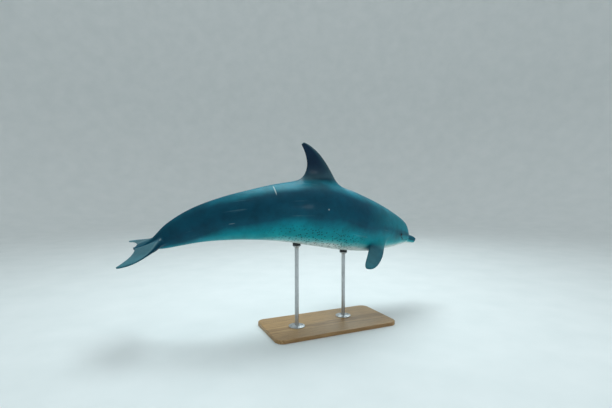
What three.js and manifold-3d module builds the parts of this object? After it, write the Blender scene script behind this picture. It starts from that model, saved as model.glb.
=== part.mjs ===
// A life-size Indo-Pacific bottlenose dolphin, arched and turning left, held on a two-rod display stand.
//
// Frame: millimetres, +Z up, +X towards the beak, +Y to the animal's left.
// The origin is the centre of the stand's underside, on the floor.
//
// The animal is drawn straight first, in body coordinates [aft, left, up]: the distance behind the beak's
// tip along the spine, the distance to the left of it and the height above it. One all-quad cage carries the
// body and grows the dorsal fin, the flippers and the flukes out of it. The cage is bent along the swimming
// spine and rounded by Catmull-Clark subdivision, and the solid it encloses is cut into the named pieces.
import * as THREE from "three";
import { mergeVertices } from "three/addons/utils/BufferGeometryUtils.js";
import Module from "manifold-3d";

const wasm = await Module();
wasm.setup();

// ---------------------------------------------------------------- driving dimensions

const BODY_LENGTH = 2400; // tip of the beak to the notch of the flukes, along the spine
const SPINE_HEIGHT = 800; // height of the spine above the floor at the anchor
const ANCHOR = 0.43; // share of the body at which the spine stands over the origin
const GAP = 0.3; // between pieces that touch
const FLATNESS = 0.5; // triangles that lie flat within this are merged

const EYE = { at: 0.13, up: 0.002, radius: 20, proud: 3 };
const STAND = {
  base: { length: 940, width: 460, thickness: 26, corner: 60, bevel: 4 },
  flange: { radius: 58, thickness: 8 },
  rod: { radius: 14 },
  saddle: { radius: 30, height: 60 },
  stations: [0.33, 0.53],
};

// The swimming spine: share of the body, then in degrees the yaw to the left, the pitch up and the roll to
// the right.
const SPINE = [
  [0.0, 12, -12, 1.5],
  [0.1, 11.5, -12.5, 2],
  [0.2, 12.5, -14, 3],
  [0.3, 13.5, -15.5, 4],
  [0.4, 12.5, -13, 4.5],
  [0.5, 8, -5.5, 5.5],
  [0.6, 0, 3, 6.5],
  [0.7, -11.5, 7.5, 7.5],
  [0.8, -21, 14, 8],
  [0.87, -24.5, 21.5, 9],
  [0.925, -22, 24, 9.5],
  [0.95, -13, 17, 9.5],
  [1.0, -9.5, 6, 9.5],
];

// Girths of the body, as shares of its length: station, crest above the spine, belly below it, half width.
const GIRTHS = {
  tip: [0.0, -0.0015, -0.0125, 0.0055],
  beakFront: [0.01, 0.005, -0.0175, 0.0112],
  beak: [0.03, 0.0085, -0.0199, 0.0138],
  beakBase: [0.051, 0.0122, -0.0216, 0.0168],
  melonFoot: [0.0545, 0.0205, -0.0222, 0.0185],
  melonFront: [0.06, 0.0315, -0.0232, 0.021],
  melon: [0.075, 0.0468, -0.0283, 0.0285],
  cheek: [0.1, 0.0585, -0.0366, 0.0372],
  eye: [0.14, 0.0691, -0.0496, 0.0495],
  nape: [0.2, 0.0807, -0.067, 0.064],
  chest: [0.26, 0.0881, -0.0811, 0.0755],
  shoulder: [0.33, 0.0927, -0.0909, 0.0825],
  waist: [0.4, 0.0965, -0.0957, 0.0845],
  middle: [0.48, 0.098, -0.0942, 0.081],
  loin: [0.56, 0.0906, -0.0849, 0.071],
  vent: [0.64, 0.0787, -0.0708, 0.057],
  stockFront: [0.72, 0.0686, -0.0585, 0.0435],
  stock: [0.8, 0.057, -0.0465, 0.031],
  stockRear: [0.87, 0.0445, -0.0352, 0.0205],
  stockEnd: [0.92, 0.029, -0.0245, 0.0135],
  flukeRoot: [0.955, 0.0145, -0.013, 0.01],
  flukeMiddle: [0.98, 0.0065, -0.006, 0.0075],
  notch: [1.0, 0.0032, -0.0032, 0.006],
};
// How far the crest and the belly are drawn to an edge: 1 is an ellipse, and more is a keel.
const KEELS = [
  [0.0, 0.92, 0.92],
  [0.06, 0.92, 0.92],
  [0.14, 0.97, 0.95],
  [0.45, 1.0, 0.95],
  [0.6, 1.15, 1.0],
  [0.75, 1.4, 1.2],
  [0.88, 1.6, 1.45],
  [1.0, 1.0, 1.0],
];
const MOUTH = [
  [-0.01, -0.0105],
  [0.01, -0.0085],
  [0.03, -0.0058],
  [0.055, -0.0062],
  [0.085, -0.0128],
  [0.105, -0.0142],
  [0.118, -0.0105],
];

// The pieces of the body and where each one begins, as shares of its length.
const PIECES = {
  head: -1,
  chest: 0.171,
  belly: 0.377,
  tail_stock_front: 0.594,
  tail_stock_rear: 0.757,
  tail_root: 0.87,
};
// The head is cut again across the foot of the melon and at the corner of the mouth.
const CREASE = 0.053;
const GAPE = 0.118;

// Outlines of the fins as cubic curves, root to tip, in shares of the body's length.
const DORSAL_FIN = {
  leading: [[0.417, 0.092], [0.452, 0.133], [0.489, 0.187], [0.537, 0.2035]],
  trailing: [[0.56, 0.084], [0.499, 0.104], [0.523, 0.165], [0.5415, 0.198]],
  thickness: [0.013, 0.0035],
  lift: 9,
};
const FLUKE = {
  leading: [[0.912, 0.008], [0.945, 0.058], [0.98, 0.114], [1.0295, 0.111]],
  trailing: [[0.9965, 0.004], [0.99, 0.038], [1.005, 0.078], [1.0305, 0.1085]],
  thickness: [0.0072, 0.0018],
  droop: 0.01,
  lift: 6,
};
const FLIPPER = {
  leading: [[0, -0.0265], [0.056, -0.0335], [0.112, -0.021], [0.124, 0.0155]],
  trailing: [[0, 0.0265], [0.062, 0.015], [0.114, 0.03], [0.1235, 0.0185]],
  thickness: [0.0085, 0.0022],
  root: { at: 0.2455, left: 0.054, up: -0.045 },
  sweep: 32,
  depression: { left: 18, right: 55 },
  twist: { left: 0, right: -3 },
  lift: 5,
};
// The block that cuts a fin off the body begins ahead of the fin's root. The fin's lift is its height off
// the root.
const BLOCK = { ahead: 25, length: 420, width: 600, reach: 400 };

// ---------------------------------------------------------------- curves

const degrees = (angle) => (angle * Math.PI) / 180;
const range = (count) => Array.from({ length: count }, (_, i) => i);
const mix = (a, b, share) => a + (b - a) * share;
const smoothStep = (low, high, x) => {
  const t = THREE.MathUtils.clamp((x - low) / (high - low), 0, 1);
  return t * t * (3 - 2 * t);
};

// A smooth curve through rows [x, y0, y1, ...] that keeps between its points: gives one column at x.
function through(rows, column) {
  const xs = rows.map((row) => row[0]);
  const ys = rows.map((row) => row[column]);
  const slopes = xs.slice(1).map((x, i) => (ys[i + 1] - ys[i]) / (x - xs[i]));
  const tangents = xs.map((_, i) => {
    const [before, after] = [slopes[i - 1], slopes[i]];
    if (before === undefined || after === undefined) return before ?? after;
    return before * after <= 0 ? 0 : (2 * before * after) / (before + after);
  });
  return (x) => {
    const last = xs.length - 2;
    const next = xs.findIndex((edge) => edge > x);
    const i = next < 0 ? last : Math.min(last, Math.max(0, next - 1));
    const width = xs[i + 1] - xs[i];
    const t = THREE.MathUtils.clamp((x - xs[i]) / width, 0, 1);
    const [t2, t3] = [t * t, t * t * t];
    return (
      (2 * t3 - 3 * t2 + 1) * ys[i] +
      (t3 - 2 * t2 + t) * width * tangents[i] +
      (3 * t2 - 2 * t3) * ys[i + 1] +
      (t3 - t2) * width * tangents[i + 1]
    );
  };
}

// A cubic curve in a fin's plane, in millimetres: gives [along, out] at a share of its way to the tip.
function outline([a, b, c, d]) {
  const curve = new THREE.CubicBezierCurve(
    new THREE.Vector2(...a),
    new THREE.Vector2(...b),
    new THREE.Vector2(...c),
    new THREE.Vector2(...d),
  );
  return (share) => curve.getPoint(share).multiplyScalar(BODY_LENGTH);
}

// ---------------------------------------------------------------- the spine

const SPINE_STEPS = 240;
const yaw = through(SPINE, 1);
const pitch = through(SPINE, 2);
const roll = through(SPINE, 3);

// The animal's own axes at a share of the body: aft, left and up.
function spineAxes(share) {
  const turned = new THREE.Matrix4()
    .makeRotationZ(degrees(yaw(share)))
    .multiply(new THREE.Matrix4().makeRotationY(-degrees(pitch(share))))
    .multiply(new THREE.Matrix4().makeRotationX(degrees(roll(share))));
  const [forward, left, up] = [new THREE.Vector3(), new THREE.Vector3(), new THREE.Vector3()];
  turned.extractBasis(forward, left, up);
  return { aft: forward.negate(), left, up };
}

const spinePoints = [new THREE.Vector3()];
for (const i of range(SPINE_STEPS)) {
  const { aft } = spineAxes((i + 0.5) / SPINE_STEPS);
  spinePoints.push(spinePoints[i].clone().addScaledVector(aft, BODY_LENGTH / SPINE_STEPS));
}
function spinePoint(share) {
  const place = THREE.MathUtils.clamp(share, 0, 1) * SPINE_STEPS;
  const i = Math.min(SPINE_STEPS - 1, Math.floor(place));
  return spinePoints[i].clone().lerp(spinePoints[i + 1], place - i);
}
const toStand = new THREE.Vector3(0, 0, SPINE_HEIGHT).sub(spinePoint(ANCHOR));

// From body coordinates to the part's frame. Beyond its ends the spine runs straight on.
function bend([aft, left, up]) {
  const share = aft / BODY_LENGTH;
  const held = THREE.MathUtils.clamp(share, 0, 1);
  const axes = spineAxes(held);
  return spinePoint(held)
    .add(toStand)
    .addScaledVector(axes.aft, (share - held) * BODY_LENGTH)
    .addScaledVector(axes.left, left)
    .addScaledVector(axes.up, up);
}

// ---------------------------------------------------------------- the body's skin

const girths = Object.values(GIRTHS);
const crest = through(girths, 1);
const belly = through(girths, 2);
const halfWidth = through(girths, 3);
const crestKeel = through(KEELS, 1);
const bellyKeel = through(KEELS, 2);
const mouthHeight = through(MOUTH, 1);

// A point of the bare body: angle runs from the crest, down the left side, to the belly.
function skinPoint(at, angle) {
  const side = Math.sin(angle);
  const up = Math.cos(angle);
  const keel = up > 0 ? crestKeel(at) : bellyKeel(at);
  const height = up > 0 ? crest(at) : -belly(at);
  const point = [at, halfWidth(at) * Math.sign(side) * Math.abs(side) ** keel, height * up];
  return point.map((value) => value * BODY_LENGTH);
}

const COLUMNS = 16;
const TRUNK_ANGLES = [0, 14, 40, 66, 90, 112.5, 135, 157.5, 180];
const HEAD_ANGLES = [0, 25, 50, 74, 94, 108, 124, 151, 180];
function columnAngle(column, at) {
  const half = column <= COLUMNS / 2 ? column : COLUMNS - column;
  const angle = mix(HEAD_ANGLES[half], TRUNK_ANGLES[half], smoothStep(0.12, 0.21, at));
  return degrees(column <= COLUMNS / 2 ? angle : 360 - angle);
}

// Rings of the cage: evenly spaced runs that meet where a fin begins or ends. No ring lies where the body
// is cut.
const FLIPPER_RUN = { from: 0.214, to: 0.3, faces: 3 };
const DORSAL_RUN = { from: 0.415, to: 0.55, faces: 4 };
const FLUKE_RUN = { from: 0.918, to: 1.0, faces: 4 };
const RUNS = [
  { from: 0.002, to: 0.012, faces: 1 },
  { from: 0.012, to: 0.05, faces: 2 },
  { from: 0.05, to: 0.06, faces: 2 },
  { from: 0.06, to: 0.1, faces: 2 },
  { from: 0.1, to: 0.165, faces: 2 },
  { from: 0.165, to: FLIPPER_RUN.from, faces: 2 },
  FLIPPER_RUN,
  { from: FLIPPER_RUN.to, to: 0.365, faces: 2 },
  { from: 0.365, to: DORSAL_RUN.from, faces: 1 },
  DORSAL_RUN,
  { from: DORSAL_RUN.to, to: 0.61, faces: 1 },
  { from: 0.61, to: 0.77, faces: 3 },
  { from: 0.77, to: 0.885, faces: 2 },
  { from: 0.885, to: FLUKE_RUN.from, faces: 1 },
  FLUKE_RUN,
];
const ringsOf = ({ from, to, faces }) => range(faces).map((i) => mix(from, to, i / faces));
const RINGS = [...RUNS.flatMap(ringsOf), 1];
const ringAt = (at) => RINGS.findIndex((ring) => Math.abs(ring - at) < 1e-9);

// ---------------------------------------------------------------- the fins

// Half thickness of a streamlined section along its chord, where 1 is the thickest.
const foil = (c) =>
  10 * (0.2969 * Math.sqrt(c) - 0.126 * c - 0.3516 * c ** 2 + 0.2843 * c ** 3 - 0.1015 * c ** 4);
const LEADING_ROUND = 0.035;
const TRAILING_ROUND = 0.985;

// A fin grows out of a patch of the body's cage, two columns wide. Key [a, b] counts faces along the chord and
// across the thickness, so b is -1 and 1 on the two sides and 0 on the edges.
function finPoint(fin, level, a, b, faces) {
  const lead = fin.lead(level.out);
  const trail = fin.trail(level.out);
  let share = a / faces;
  if (a === 0 && b !== 0) share = LEADING_ROUND;
  if (a === faces && b !== 0) share = TRAILING_ROUND;
  const place = lead.clone().lerp(trail, mix(0.5, share, level.chord));
  const thick = mix(fin.thickness[0], fin.thickness[1], level.out) * BODY_LENGTH * level.swell;
  return fin.place(place, b * (thick * foil(share) + level.edge));
}

// Loops of points from root to tip: share of the way out, chord, thickness and half thickness of the edges
// in mm.
const LEVELS = [
  { out: 0.17, chord: 1.02, swell: 1.35, edge: 13 },
  { out: 0.3, chord: 1, swell: 1.05, edge: 6 },
  { out: 0.5, chord: 1, swell: 1, edge: 1.4 },
  { out: 0.7, chord: 1, swell: 1, edge: 1.2 },
  { out: 0.87, chord: 1, swell: 1, edge: 1.2 },
  { out: 0.97, chord: 1, swell: 0.9, edge: 1.2 },
];

const dorsalFin = {
  name: "dorsal_fin",
  run: DORSAL_RUN,
  column: 0,
  lead: outline(DORSAL_FIN.leading),
  trail: outline(DORSAL_FIN.trailing),
  thickness: DORSAL_FIN.thickness,
  lift: DORSAL_FIN.lift,
  place: (point, half) => [point.x, half, point.y],
};

function fluke(side) {
  return {
    name: side > 0 ? "fluke_left" : "fluke_right",
    run: FLUKE_RUN,
    column: side > 0 ? 4 : 12,
    lead: outline(FLUKE.leading),
    trail: outline(FLUKE.trailing),
    thickness: FLUKE.thickness,
    lift: FLUKE.lift,
    place: (point, half) => {
      const out = point.y / (FLUKE.leading[3][1] * BODY_LENGTH);
      return [point.x, side * point.y, -side * half - FLUKE.droop * BODY_LENGTH * out * out];
    },
  };
}

function flipper(side) {
  const pose = side > 0 ? "left" : "right";
  const [sweep, drop, twist] = [FLIPPER.sweep, FLIPPER.depression[pose], FLIPPER.twist[pose]].map(degrees);
  // In [aft, out, up]: along the flipper, then its chord towards the rear edge, then out of its upper face.
  const sideways = new THREE.Vector3(0, Math.cos(drop), -Math.sin(drop));
  const backward = new THREE.Vector3(1, 0, 0);
  const along = sideways.clone().multiplyScalar(Math.cos(sweep)).addScaledVector(backward, Math.sin(sweep));
  const level = backward.clone().multiplyScalar(Math.cos(sweep)).addScaledVector(sideways, -Math.sin(sweep));
  const upper = level.clone().cross(along);
  const chord = level.clone().multiplyScalar(Math.cos(twist)).addScaledVector(upper, Math.sin(twist));
  const face = upper.clone().multiplyScalar(Math.cos(twist)).addScaledVector(level, -Math.sin(twist));
  const root = new THREE.Vector3(FLIPPER.root.at, FLIPPER.root.left, FLIPPER.root.up).multiplyScalar(BODY_LENGTH);
  return {
    name: `flipper_${pose}`,
    run: FLIPPER_RUN,
    column: side > 0 ? 6 : 10,
    lead: outline(FLIPPER.leading),
    trail: outline(FLIPPER.trailing),
    thickness: FLIPPER.thickness,
    lift: FLIPPER.lift,
    place: (point, half) => {
      const p = root
        .clone()
        .addScaledVector(along, point.x)
        .addScaledVector(chord, point.y)
        .addScaledVector(face, -side * half);
      return [p.x, side * p.y, p.z];
    },
  };
}

const fins = [dorsalFin, fluke(1), fluke(-1), flipper(1), flipper(-1)];

// ---------------------------------------------------------------- the cage

const average = (...points) => [0, 1, 2].map((k) => points.reduce((sum, p) => sum + p[k], 0) / points.length);

// Closes a ring of 16 points with a 4 by 4 grid of faces that bulges by a length along aft.
function capGrid(cage, ring, bulge, turned) {
  const size = COLUMNS / 4;
  const grid = range(size + 1).map((row) =>
    range(size + 1).map((col) => {
      if (row === 0) return ring[(14 + col) % COLUMNS];
      if (col === size) return ring[2 + row];
      if (row === size) return ring[10 - col];
      if (col === 0) return ring[14 - row];
      const [v, u] = [row / size, col / size];
      const edges = [ring[(14 + col) % COLUMNS], ring[10 - col], ring[14 - row], ring[2 + row]];
      const [top, bottom, right, left] = edges.map((id) => cage.points[id]);
      const corners = [ring[14], ring[2], ring[10], ring[6]].map((id) => cage.points[id]);
      const point = range(3).map(
        (k) =>
          mix(top[k], bottom[k], v) +
          mix(right[k], left[k], u) -
          mix(mix(corners[0][k], corners[1][k], u), mix(corners[2][k], corners[3][k], u), v),
      );
      point[0] += bulge * Math.sin(Math.PI * u) * Math.sin(Math.PI * v);
      return cage.points.push(point) - 1;
    }),
  );
  for (const row of range(size))
    for (const col of range(size)) {
      const quad = [grid[row][col], grid[row][col + 1], grid[row + 1][col + 1], grid[row + 1][col]];
      cage.quads.push(turned ? quad.reverse() : quad);
    }
}

// Replaces a patch of the body's cage by a fin: one loop of points for each level, and a cap at the tip.
function growFin(cage, rings, fin) {
  const first = ringAt(fin.run.from);
  const { faces } = fin.run;
  const loop = [
    ...[-1, 0].map((b) => [0, b]),
    ...range(faces).map((a) => [a, 1]),
    ...[1, 0].map((b) => [faces, b]),
    ...range(faces).map((a) => [faces - a, -1]),
  ];
  let inner = loop.map(([a, b]) => rings[first + a][(fin.column + b + COLUMNS) % COLUMNS]);
  for (const level of LEVELS) {
    const outer = loop.map(([a, b]) => cage.points.push(finPoint(fin, level, a, b, faces)) - 1);
    for (const i of range(loop.length)) {
      const next = (i + 1) % loop.length;
      cage.quads.push([inner[i], inner[next], outer[next], outer[i]]);
    }
    inner = outer;
  }
  const ids = new Map(loop.map((key, i) => [key.join(), inner[i]]));
  const tip = fin.place(fin.lead(1).lerp(fin.trail(1), 0.5), 0);
  for (const a of range(faces).slice(1)) {
    const middle = average(cage.points[ids.get(`${a},1`)], cage.points[ids.get(`${a},-1`)]);
    ids.set(`${a},0`, cage.points.push(average(middle, tip)) - 1);
  }
  for (const a of range(faces))
    for (const b of [-1, 0]) {
      const keys = [[a, b], [a, b + 1], [a + 1, b + 1], [a + 1, b]];
      cage.quads.push(keys.map((key) => ids.get(key.join())));
    }
}

// The whole animal as points in body coordinates and quads that face outwards.
function buildCage(fins) {
  const cage = { points: [], quads: [] };
  const add = (point) => cage.points.push(point) - 1;
  const rings = RINGS.map((at) => range(COLUMNS).map((j) => add(skinPoint(at, columnAngle(j, at)))));
  const inPatch = (i, j) =>
    fins.some((fin) => {
      const first = ringAt(fin.run.from);
      const across = (j - fin.column + 1 + COLUMNS) % COLUMNS;
      return i >= first && i < first + fin.run.faces && across < 2;
    });
  for (const i of range(RINGS.length - 1))
    for (const j of range(COLUMNS)) {
      const next = (j + 1) % COLUMNS;
      if (!inPatch(i, j)) cage.quads.push([rings[i][j], rings[i][next], rings[i + 1][next], rings[i + 1][j]]);
    }
  capGrid(cage, rings[0], -0.0035 * BODY_LENGTH, true);
  capGrid(cage, rings.at(-1), 0.001 * BODY_LENGTH, false);
  for (const fin of fins) growFin(cage, rings, fin);
  // The fins leave some points of the rings unused.
  const used = [...new Set(cage.quads.flat())];
  const places = new Map(used.map((id, i) => [id, i]));
  return {
    points: used.map((id) => cage.points[id]),
    quads: cage.quads.map((ids) => ids.map((id) => places.get(id))),
  };
}

// ---------------------------------------------------------------- subdivision

// Where Catmull-Clark subdivision would carry each point of an all-quad cage in the end.
function limitPoints({ points, quads }) {
  const sums = points.map(() => ({ faces: 0, near: [0, 0, 0], far: [0, 0, 0] }));
  for (const ids of quads)
    ids.forEach((id, corner) => {
      const [next, opposite, previous] = [1, 2, 3].map((step) => points[ids[(corner + step) % 4]]);
      const sum = sums[id];
      sum.faces += 1;
      for (const k of range(3)) {
        sum.near[k] += (next[k] + previous[k]) / 2;
        sum.far[k] += opposite[k];
      }
    });
  return sums.map(({ faces: n, near, far }, id) =>
    points[id].map((value, k) => (n * n * value + 4 * near[k] + far[k]) / (n * (n + 5))),
  );
}

// Moves the cage outwards until the rounded surface runs through the points as drawn.
function fitCage(cage, rounds = 3) {
  let { points } = cage;
  for (const _ of range(rounds)) {
    const reached = limitPoints({ points, quads: cage.quads });
    points = points.map((point, id) => point.map((value, k) => value + cage.points[id][k] - reached[id][k]));
  }
  return { points, quads: cage.quads };
}

// One Catmull-Clark step.
function subdivide({ points, quads }) {
  const made = [...points];
  const add = (point) => made.push(point) - 1;
  const faceIds = quads.map((ids) => add(average(...ids.map((id) => points[id]))));
  const edges = new Map();
  const edgeOf = (a, b) => edges.get(a < b ? `${a},${b}` : `${b},${a}`);
  quads.forEach((ids, face) =>
    ids.forEach((id, corner) => {
      const other = ids[(corner + 1) % 4];
      if (!edgeOf(id, other)) edges.set(id < other ? `${id},${other}` : `${other},${id}`, { around: [id, other] });
      edgeOf(id, other).around.push(faceIds[face]);
    }),
  );
  for (const edge of edges.values()) edge.id = add(average(...edge.around.map((id) => made[id])));
  const sums = points.map(() => ({ faces: 0, face: [0, 0, 0], edge: [0, 0, 0] }));
  quads.forEach((ids, face) =>
    ids.forEach((id, corner) => {
      const sum = sums[id];
      const [next, previous] = [ids[(corner + 1) % 4], ids[(corner + 3) % 4]];
      sum.faces += 1;
      for (const k of range(3)) {
        sum.face[k] += made[faceIds[face]][k];
        sum.edge[k] += (points[next][k] + points[previous][k]) / 4 + points[id][k] / 2;
      }
    }),
  );
  sums.forEach(({ faces: n, face, edge }, id) => {
    made[id] = points[id].map((value, k) => (face[k] / n + (2 * edge[k]) / n + (n - 3) * value) / n);
  });
  const split = quads.flatMap((ids, face) =>
    ids.map((id, corner) => {
      const [next, previous] = [ids[(corner + 1) % 4], ids[(corner + 3) % 4]];
      return [id, edgeOf(id, next).id, faceIds[face], edgeOf(id, previous).id];
    }),
  );
  return { points: made, quads: split };
}

// ---------------------------------------------------------------- solids

const halves = ([a, b, c, d]) => [[a, b, c], [a, c, d]];

function solidOf(points, triangles) {
  return new wasm.Manifold(
    new wasm.Mesh({
      numProp: 3,
      vertProperties: new Float32Array(points.flat()),
      triVerts: new Uint32Array(triangles.flat()),
    }),
  );
}

function solidOfGeometry(geometry, matrix = new THREE.Matrix4()) {
  const bare = geometry.clone().applyMatrix4(matrix);
  bare.deleteAttribute("normal");
  bare.deleteAttribute("uv");
  const merged = mergeVertices(bare, 1e-4);
  const { array } = merged.attributes.position;
  return new wasm.Manifold(
    new wasm.Mesh({ numProp: 3, vertProperties: array, triVerts: new Uint32Array(merged.index.array) }),
  );
}

function geometryOf(solid) {
  const { vertProperties, triVerts } = solid.getMesh();
  const geometry = new THREE.BufferGeometry();
  geometry.setAttribute("position", new THREE.BufferAttribute(new Float32Array(vertProperties), 3));
  geometry.setIndex(new THREE.BufferAttribute(new Uint32Array(triVerts), 1));
  return geometry;
}

// A block whose near face lies along a fin's root, lifted clear of the body, and which holds the whole fin.
function finBlock({ run, column, lift }, gap) {
  const edge = (at, beside) => bend(skinPoint(at, columnAngle((column + beside + COLUMNS) % COLUMNS, at)));
  const [front, rear] = [edge(run.from, 0), edge(run.to, 0)];
  const middle = (run.from + run.to) / 2;
  const along = rear.clone().sub(front).normalize();
  const across = edge(middle, 1).sub(edge(middle, -1)).normalize();
  const out = across.clone().cross(along).normalize();
  const corner = front.addScaledVector(along, -BLOCK.ahead).addScaledVector(out, lift + gap);
  const centre = corner.addScaledVector(along, BLOCK.length / 2).addScaledVector(out, BLOCK.reach / 2);
  const matrix = new THREE.Matrix4().makeBasis(along, out.clone().cross(along), out).setPosition(centre);
  return solidOfGeometry(new THREE.BoxGeometry(BLOCK.length, BLOCK.width, BLOCK.reach), matrix);
}

// What is left of a solid behind a plane across the spine, or ahead of it.
function trimAt(solid, at, side) {
  const { aft } = spineAxes(at);
  const normal = aft.multiplyScalar(side);
  return solid.trimByPlane(normal.toArray(), normal.dot(bend([at * BODY_LENGTH, 0, 0])) + GAP / 2);
}

const drawn = buildCage(fins);
const bent = { points: drawn.points.map((point) => bend(point).toArray()), quads: drawn.quads };
const rounded = subdivide(fitCage(bent));
const skin = solidOf(rounded.points, rounded.quads.flatMap(halves)).simplify(FLATNESS);

const bare = fins.reduce((left, fin) => left.subtract(finBlock(fin, 0)), skin);
const starts = Object.values(PIECES);
const lengths = Object.fromEntries(
  Object.keys(PIECES).map((name, i) => {
    const front = i > 0 ? trimAt(bare, starts[i], 1) : bare;
    return [name, i + 1 < starts.length ? trimAt(front, starts[i + 1], -1) : front];
  }),
);

// ---------------------------------------------------------------- the head's own cuts

const KNIFE = 200; // half the reach of a cut, past the head on every side
const mouthLevel = (at) => mouthHeight(at) * BODY_LENGTH;

// A thin wall across the spine, from one height to another.
function crossCut(at, low, high) {
  const { aft, left, up } = spineAxes(at);
  const middle = bend([at * BODY_LENGTH, 0, (low + high) / 2]);
  const matrix = new THREE.Matrix4().makeBasis(aft.negate(), left, up).setPosition(middle);
  return solidOfGeometry(new THREE.BoxGeometry(GAP, 2 * KNIFE, high - low), matrix);
}

// A thin wall along the mouth line, from ahead of the beak to the gape.
function mouthCut() {
  const steps = 8;
  const corners = range(steps + 1).flatMap((i) => {
    const at = mix(MOUTH[0][0], GAPE, i / steps);
    return [[-1, -1], [-1, 1], [1, 1], [1, -1]].map(([side, up]) =>
      bend([at * BODY_LENGTH, side * KNIFE, mouthLevel(at) + (up * GAP) / 2]).toArray(),
    );
  });
  const walls = range(steps).flatMap((i) =>
    range(4).flatMap((k) => {
      const [near, next] = [4 * i + k, 4 * i + ((k + 1) % 4)];
      return halves([near, next, next + 4, near + 4]);
    }),
  );
  const last = 4 * steps;
  return solidOf(corners, [...walls, ...halves([3, 2, 1, 0]), ...halves([last, last + 1, last + 2, last + 3])]);
}

// An eye's ball sits in the side of the head, with its outermost point proud of the skin.
function eyeBall(side, extra) {
  const height = EYE.up < 0 ? -belly(EYE.at) : crest(EYE.at);
  const [aft, left, up] = skinPoint(EYE.at, side * Math.acos(EYE.up / height));
  const centre = bend([aft, left - side * (EYE.radius - EYE.proud), up]);
  const matrix = new THREE.Matrix4().makeRotationX(Math.PI / 2).setPosition(centre);
  return solidOfGeometry(new THREE.SphereGeometry(EYE.radius + extra, 14, 8), matrix);
}

const headCuts = [
  mouthCut(),
  crossCut(CREASE, mouthLevel(CREASE) - GAP / 2, KNIFE),
  crossCut(GAPE, -KNIFE, mouthLevel(GAPE) + GAP / 2),
  eyeBall(1, GAP),
  eyeBall(-1, GAP),
];
const headPieces = headCuts
  .reduce((left, cut) => left.subtract(cut), lengths.head)
  .decompose()
  .sort((a, b) => b.volume() - a.volume());

// ---------------------------------------------------------------- materials

const paint = (color, roughness, metalness = 0) => new THREE.MeshStandardMaterial({ color, roughness, metalness });
const backSkin = paint("#27495b", 0.42);
const flankSkin = paint("#2b6472", 0.42);
const finSkin = paint("#1d3547", 0.45);
const jawSkin = paint("#5d9aa0", 0.42);
const eyeBlack = paint("#0b0f12", 0.08);
const standWood = paint("#d9d6cf", 0.5);
const standSteel = paint("#b9bdc0", 0.3, 1);

// ---------------------------------------------------------------- the assembly

const dolphin = new THREE.Group();
function addNode(name, solid, material) {
  const mesh = new THREE.Mesh(geometryOf(solid), material);
  mesh.name = name;
  dolphin.add(mesh);
  return mesh;
}

["head", "jaw_lower", "beak_upper"].forEach((name, i) =>
  addNode(name, headPieces[i], name === "jaw_lower" ? jawSkin : backSkin),
);
for (const name of Object.keys(PIECES).slice(1)) addNode(name, lengths[name], flankSkin);
for (const fin of fins) addNode(fin.name, skin.intersect(finBlock(fin, GAP)), finSkin);
addNode("eye_left", eyeBall(1, 0), eyeBlack);
addNode("eye_right", eyeBall(-1, 0), eyeBlack);

// The stand: a plinth with rounded corners, and at each station a flange, a rod and a saddle shaped to the belly.
function plinth({ length, width, thickness, corner, bevel }) {
  const [x, y] = [length / 2 - bevel, width / 2 - bevel];
  const shape = new THREE.Shape()
    .moveTo(-x + corner, -y)
    .lineTo(x - corner, -y)
    .absarc(x - corner, -y + corner, corner, -Math.PI / 2, 0)
    .lineTo(x, y - corner)
    .absarc(x - corner, y - corner, corner, 0, Math.PI / 2)
    .lineTo(-x + corner, y)
    .absarc(-x + corner, y - corner, corner, Math.PI / 2, Math.PI)
    .lineTo(-x, -y + corner)
    .absarc(-x + corner, -y + corner, corner, Math.PI, 1.5 * Math.PI);
  const geometry = new THREE.ExtrudeGeometry(shape, {
    depth: thickness - 2 * bevel,
    bevelThickness: bevel,
    bevelSize: bevel,
    bevelSegments: 1,
    curveSegments: 4,
  });
  return geometry.translate(0, 0, bevel);
}

const upright = (radius, low, high, x, y) =>
  solidOfGeometry(
    new THREE.CylinderGeometry(radius, radius, high - low, 20),
    new THREE.Matrix4().makeRotationX(Math.PI / 2).setPosition(x, y, (low + high) / 2),
  );

addNode("stand_base", solidOfGeometry(plinth(STAND.base)), standWood);
STAND.stations.forEach((at, i) => {
  const place = ["front", "rear"][i];
  const under = bend(skinPoint(at, Math.PI));
  const flangeFoot = STAND.base.thickness + GAP;
  const rodFoot = flangeFoot + STAND.flange.thickness + GAP;
  const saddleFoot = under.z - STAND.saddle.height / 2;
  const column = (radius, low, high) => upright(radius, low, high, under.x, under.y);
  const flange = column(STAND.flange.radius, flangeFoot, flangeFoot + STAND.flange.thickness);
  addNode(`stand_flange_${place}`, flange, standSteel);
  addNode(`stand_rod_${place}`, column(STAND.rod.radius, rodFoot, saddleFoot - GAP), standSteel);
  const block = column(STAND.saddle.radius, saddleFoot, saddleFoot + STAND.saddle.height);
  addNode(`stand_saddle_${place}`, block.subtract(skin), standSteel).geometry.translate(0, 0, -GAP);
});

export default dolphin;
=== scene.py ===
# %% [markdown]
# # A bottlenose dolphin on a display stand
# This lesson builds a life-size bottlenose dolphin that arches and turns as it swims. The flesh is one closed skin
# from the beak to the flukes, because a living animal has no seams. The eyes, the stand and its screws are separate
# pieces. The frame loaded first holds the plain CAD solids, and they fix every size and place.

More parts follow.
